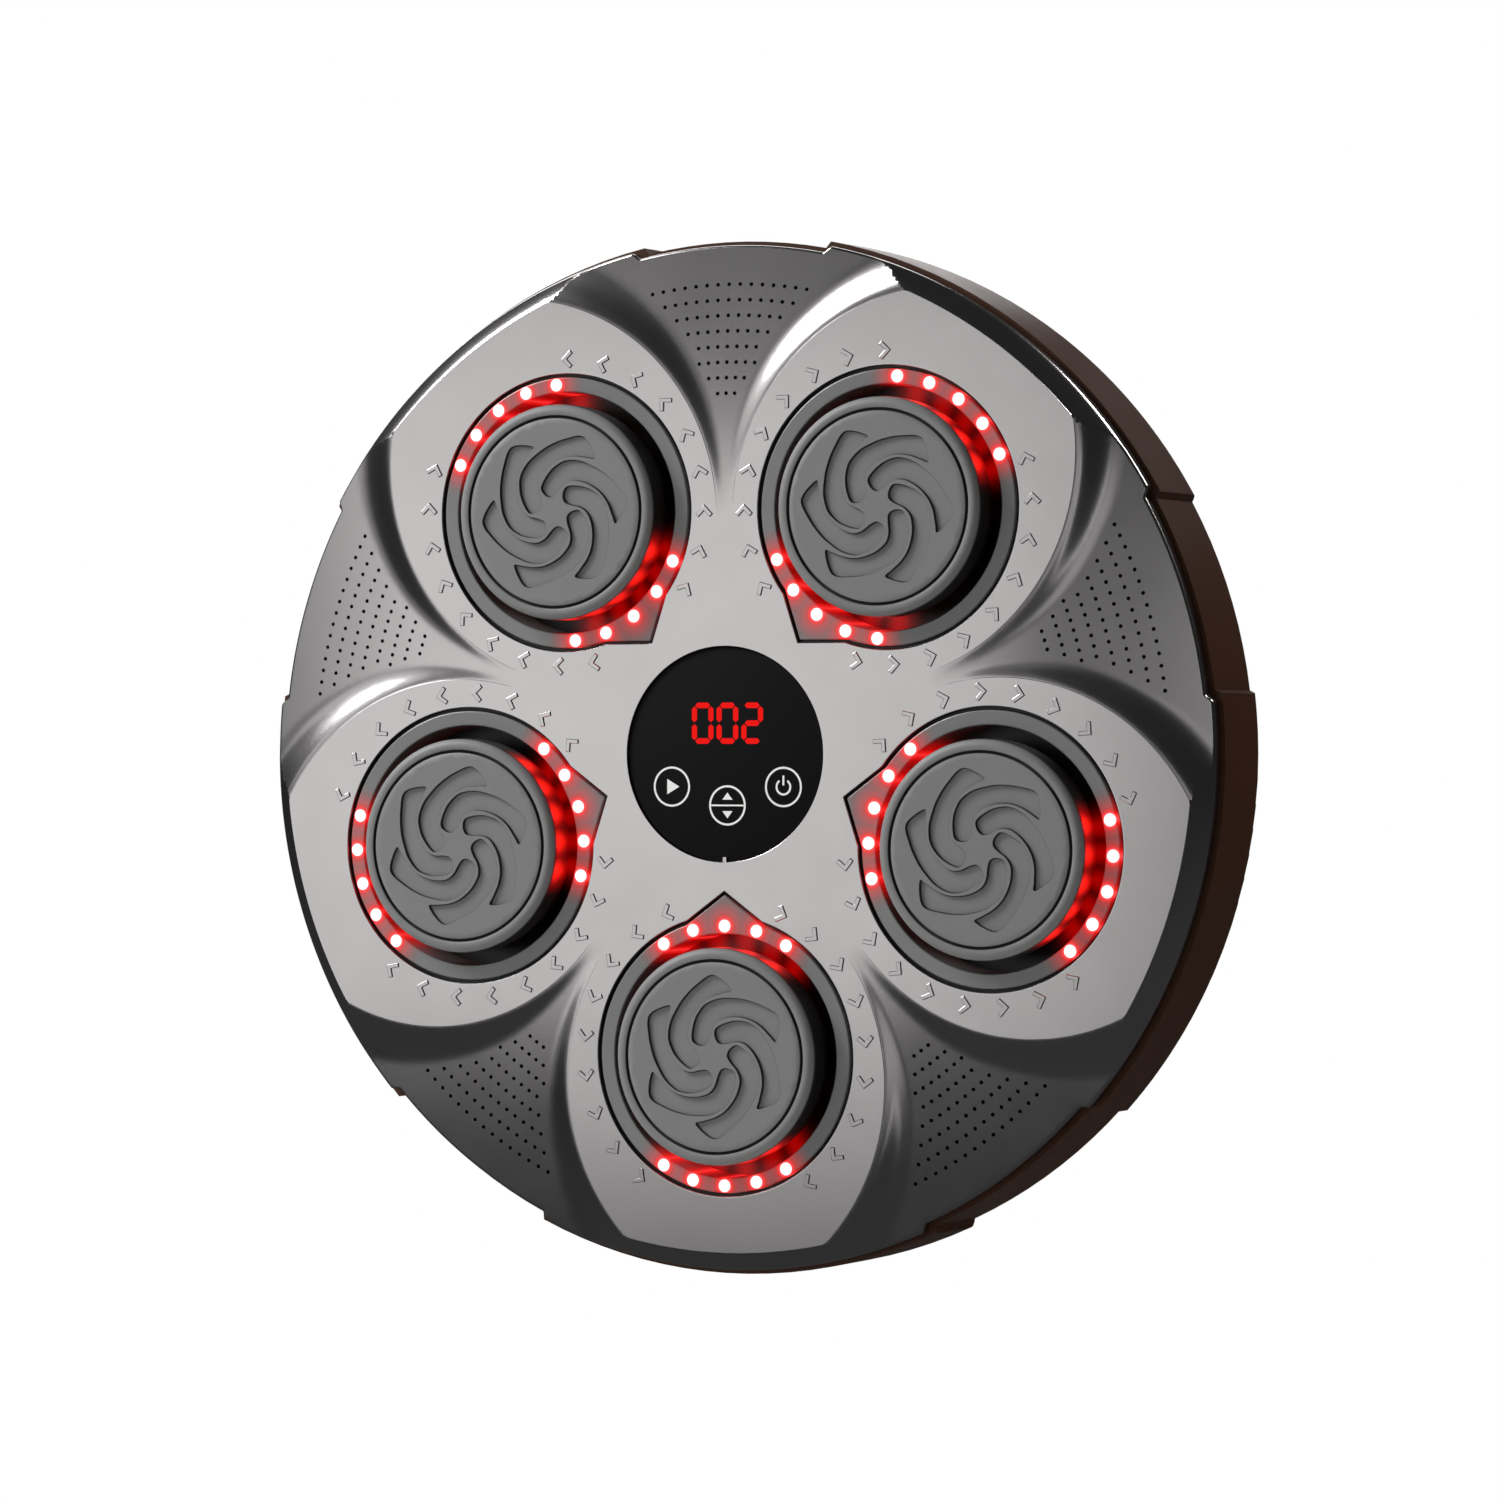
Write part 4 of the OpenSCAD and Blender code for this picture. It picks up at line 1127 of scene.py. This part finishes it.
def barOutline(length, thick):
    h, s = thick / 2, length / 2
    return [(-s, 0), (-s + h * 0.9, -h), (s - h * 0.9, -h), (s, 0), (s - h * 0.9, h), (-s + h * 0.9, h)]


def digitBars(low, high):
    t, w, h = display["bar"], digitWidth / 2, digitHeight / 2
    across, down = digitWidth - t - display["gap"], h - t / 2 - display["gap"]
    bars = {"a": (0, h - t / 2, 0), "d": (0, -h + t / 2, 0), "g": (0, 0, 0),
            "b": (w - t / 2, h / 2 - t / 4, 90), "f": (-w + t / 2, h / 2 - t / 4, 90),
            "c": (w - t / 2, -h / 2 + t / 4, 90), "e": (-w + t / 2, -h / 2 + t / 4, 90)}
    parts = []
    for k, character in enumerate(display["showing"]):
        for key, (x, y, spin) in bars.items():
            if key not in barsOfDigit[character]:
                continue
            pts, faces = extrudeShape(barOutline(down if spin else across, t), low, high)
            pts = turned(pts, spin)
            pts[:, 0] += x + (k - 1) * digitPitch + display["aside"]
            pts[:, 1] += y + digitMiddle
            parts.append((pts, faces))
    return joined(parts)


# a straight or bent line of a given width as thin plates
def strip(points, width, low, high):
    parts = []
    for (ax, ay), (bx, by) in zip(points, points[1:]):
        d = np.array([bx - ax, by - ay])
        n = np.array([-d[1], d[0]]) / np.linalg.norm(d) * width / 2
        box = [(ax - n[0], ay - n[1]), (bx - n[0], by - n[1]), (bx + n[0], by + n[1]), (ax + n[0], ay + n[1])]
        parts.append(extrudeShape(box, low, high))
    return parts


# start, up and down, and power: plain signs in place of words
def icons(low, high):
    line, radius = display["line"], display["keyRadius"]
    keys = [(x + display["aside"], y) for x, y in display["keys"]]
    whole = np.linspace(0, 2 * math.pi, 72, endpoint=False)
    parts = [plateBetween(ringOf(radius, key, whole), ringOf(radius - line, key, whole), low, high)
             for key in keys]
    (lx, ly), (cx, cy), (rx, ry) = keys
    parts.append(extrudeShape([(lx - 2.0, ly - 3.0), (lx + 3.2, ly), (lx - 2.0, ly + 3.0)], low, high))
    reach = radius - line * 1.1
    parts += strip([(cx - reach, cy), (cx + reach, cy)], line * 0.8, low, high)
    parts.append(extrudeShape([(cx - 2.2, cy + 2.2), (cx + 2.2, cy + 2.2), (cx, cy + 5.0)], low, high))
    parts.append(extrudeShape([(cx - 2.2, cy - 2.2), (cx, cy - 5.0), (cx + 2.2, cy - 2.2)], low, high))
    parts += strip([(rx, ry + 0.6), (rx, ry + 4.4)], line, low, high)
    sweep = np.radians(np.linspace(125, 415, 30))
    parts.append(plateBetween(ringOf(3.3, keys[2], sweep), ringOf(2.5, keys[2], sweep), low, high, False))
    return joined(parts)


e = display["edge"]
lensProfile = [(0, lensLow.z), (lensRadius - 0.2, lensLow.z), (lensRadius, lensLow.z + 0.2)]
lensProfile += [(lensRadius - e * (1 - math.cos(t)), lensHigh.z - e * (1 - math.sin(t)))
                for t in np.radians((0, 22, 45, 68, 90))]
lensPoints, lensFaces = revolved(lensProfile + [(0, lensHigh.z)])
lens = makePiece("displayLens", lensPoints, lensFaces, "acrylic", "case", ("display_lens",))
sharpen(lens, 40)
inkLow, inkTop = lensHigh.z - 0.05, lensHigh.z + display["ink"]
inkPoints, inkFaces = icons(inkLow, inkTop)
makePiece("printedSigns", inkPoints, inkFaces, "print", "case", (), False)
barPoints, barFaces = digitBars(inkLow, inkTop)
makePiece("digitBarsLit", barPoints, barFaces, "barLit", "case", ("digit_segments",), False)
tabPoints, tabFaces = extrudeShape([(-0.9, -lensRadius - 0.4), (0.9, -lensRadius - 0.4),
                                    (0.9, -lensRadius + 1.9), (-0.9, -lensRadius + 1.9)],
                                   lensHigh.z + 0.02, faceHeight - 0.2, 0.2)
makePiece("lensTab", tabPoints, tabFaces, "silver", "case", (), False)
print("display made")

# The other pieces keep their CAD shape

finishOfNode = {
    "rear_housing": "housing", "well_cup": "well", "pad_carrier": "well", "digit_module": "black",
    "battery_bracket": "black", "speaker_frame": "black", "speaker_cone": "paper", "touch_springs": "steel",
    "control_board": "board", "main_board": "board", "charge_board": "board", "led_board": "board",
    "led_cables": "ribbon", "display_cable": "ribbon", "battery_pack": "wrap", "usb_socket": "steel",
    "case_screws": "screw", "cup_screws": "screw", "board_screws": "screw", "stop_screws": "screw",
    "led_chips": "diode", "impact_sensors": "brass", "bump_stops": "rubber",
}
for name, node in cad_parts.items():
    if node.hide_render:
        continue
    key = name if name in finishOfNode else name.rsplit("_", 1)[0]
    node.data.materials.clear()
    node.data.materials.append(finishes[finishOfNode[key]])
print("CAD pieces painted")

# Stage, lights and camera


# soft boxes round the machine: degrees from straight ahead to the right, degrees up, metres away,
# width and height in metres, and watts
softLights = {
    "softBox": (-28.5, 1.2, 2.4, (0.96, 0.72), 2.5),
    "softBoxGlow": (-32, 7, 2.6, (1.8, 1.5), 1.4),
    "upperLeftGlow": (-49, 18, 2.5, (0.9, 0.8), 1.6),
    "keyUpperLeft": (-62, 38, 2.0, (0.8, 0.8), 42),
    "rightStrip": (14, -4, 2.4, (0.16, 0.9), 0.55),
    "frontBox": (1, 0, 2.4, (0.76, 0.7), 0.95),
    "rightEdge": (130, 45, 2.0, (0.5, 0.6), 18),
    "backFill": (-150, 35, 2.2, (1.4, 1.4), 16),
}
view = {"azimuth": 25.07, "elevation": 0.12, "distance": 2.3975, "lens": 148.8, "shift": (0.0172, 0.0028)}
target = Vector((0, -faceHeight / 1000, 0))


# hangs a light or the camera at a place round the machine, and aims it at the middle of the face
def aim(name, data, degrees, rise, distance):
    a, e = math.radians(degrees), math.radians(rise)
    back = Vector((math.sin(a) * math.cos(e), -math.cos(a) * math.cos(e), math.sin(e)))
    placed = bpy.data.objects.new(name, data)
    placed.location = target + back * distance
    placed.rotation_mode = "QUATERNION"
    placed.rotation_quaternion = (-back).to_track_quat("-Z", "Y")
    bpy.context.scene.collection.objects.link(placed)
    return placed


for name, (degrees, rise, distance, size, power) in softLights.items():
    data = bpy.data.lights.new(name, "AREA")
    data.shape = "RECTANGLE"
    data.size, data.size_y = size
    data.energy = power
    aim(name, data, degrees, rise, distance)

floorMesh = bpy.data.meshes.new("studioFloor")
floorMesh.from_pydata([(-1, -1.2, -0.42), (1, -1.2, -0.42), (1, 0.7, -0.42), (-1, 0.7, -0.42)], [],
                      [(0, 1, 2, 3)])
floorPaint, floorTree, floorShader = newMaterial("palePaint", Base_Color=linear("#e9e9e7"), Roughness=0.8)
grain(floorTree, floorShader, 3.0, 0.02)
floorMesh.materials.append(floorPaint)
floor = bpy.data.objects.new("studioFloor", floorMesh)
bpy.context.scene.collection.objects.link(floor)
floor.visible_glossy = False

# the room is white to the camera, dim in mirrors, a little less so low down, and softly lit otherwise
world = bpy.data.worlds.new("studio")
bpy.context.scene.world = world
world.use_nodes = True
worldTree = world.node_tree
sky = worldTree.nodes["Background"]
path = addNode(worldTree, "ShaderNodeLightPath")
shade = addNode(worldTree, "ShaderNodeMix", {"data_type": "RGBA"})
fill = addNode(worldTree, "ShaderNodeMix", {"data_type": "RGBA"})
where = addNode(worldTree, "ShaderNodeTexCoord")
height = addNode(worldTree, "ShaderNodeSeparateXYZ", None, None, {"Vector": where.outputs["Generated"]})
mirrored = addNode(worldTree, "ShaderNodeMapRange", None,
                   {"From Min": -0.45, "From Max": -0.05, "To Min": 0.06, "To Max": 0.026},
                   {"Value": height.outputs["Z"]})
worldTree.links.new(mirrored.outputs["Result"], fill.inputs[6])
fill.inputs[7].default_value = (0.11, 0.11, 0.11, 1)
worldTree.links.new(path.outputs["Is Diffuse Ray"], fill.inputs[0])
worldTree.links.new(fill.outputs[2], shade.inputs[6])
shade.inputs[7].default_value = (1, 1, 1, 1)
worldTree.links.new(path.outputs["Is Camera Ray"], shade.inputs[0])
worldTree.links.new(shade.outputs[2], sky.inputs["Color"])

cameraData = bpy.data.cameras.new("camera")
cameraData.lens = view["lens"]
cameraData.sensor_width = 36
cameraData.shift_x, cameraData.shift_y = view["shift"]
camera = aim("camera", cameraData, view["azimuth"], view["elevation"], view["distance"])
bpy.context.scene.camera = camera
bpy.context.scene.view_settings.view_transform = "Standard"
print("stage, lights and camera set")
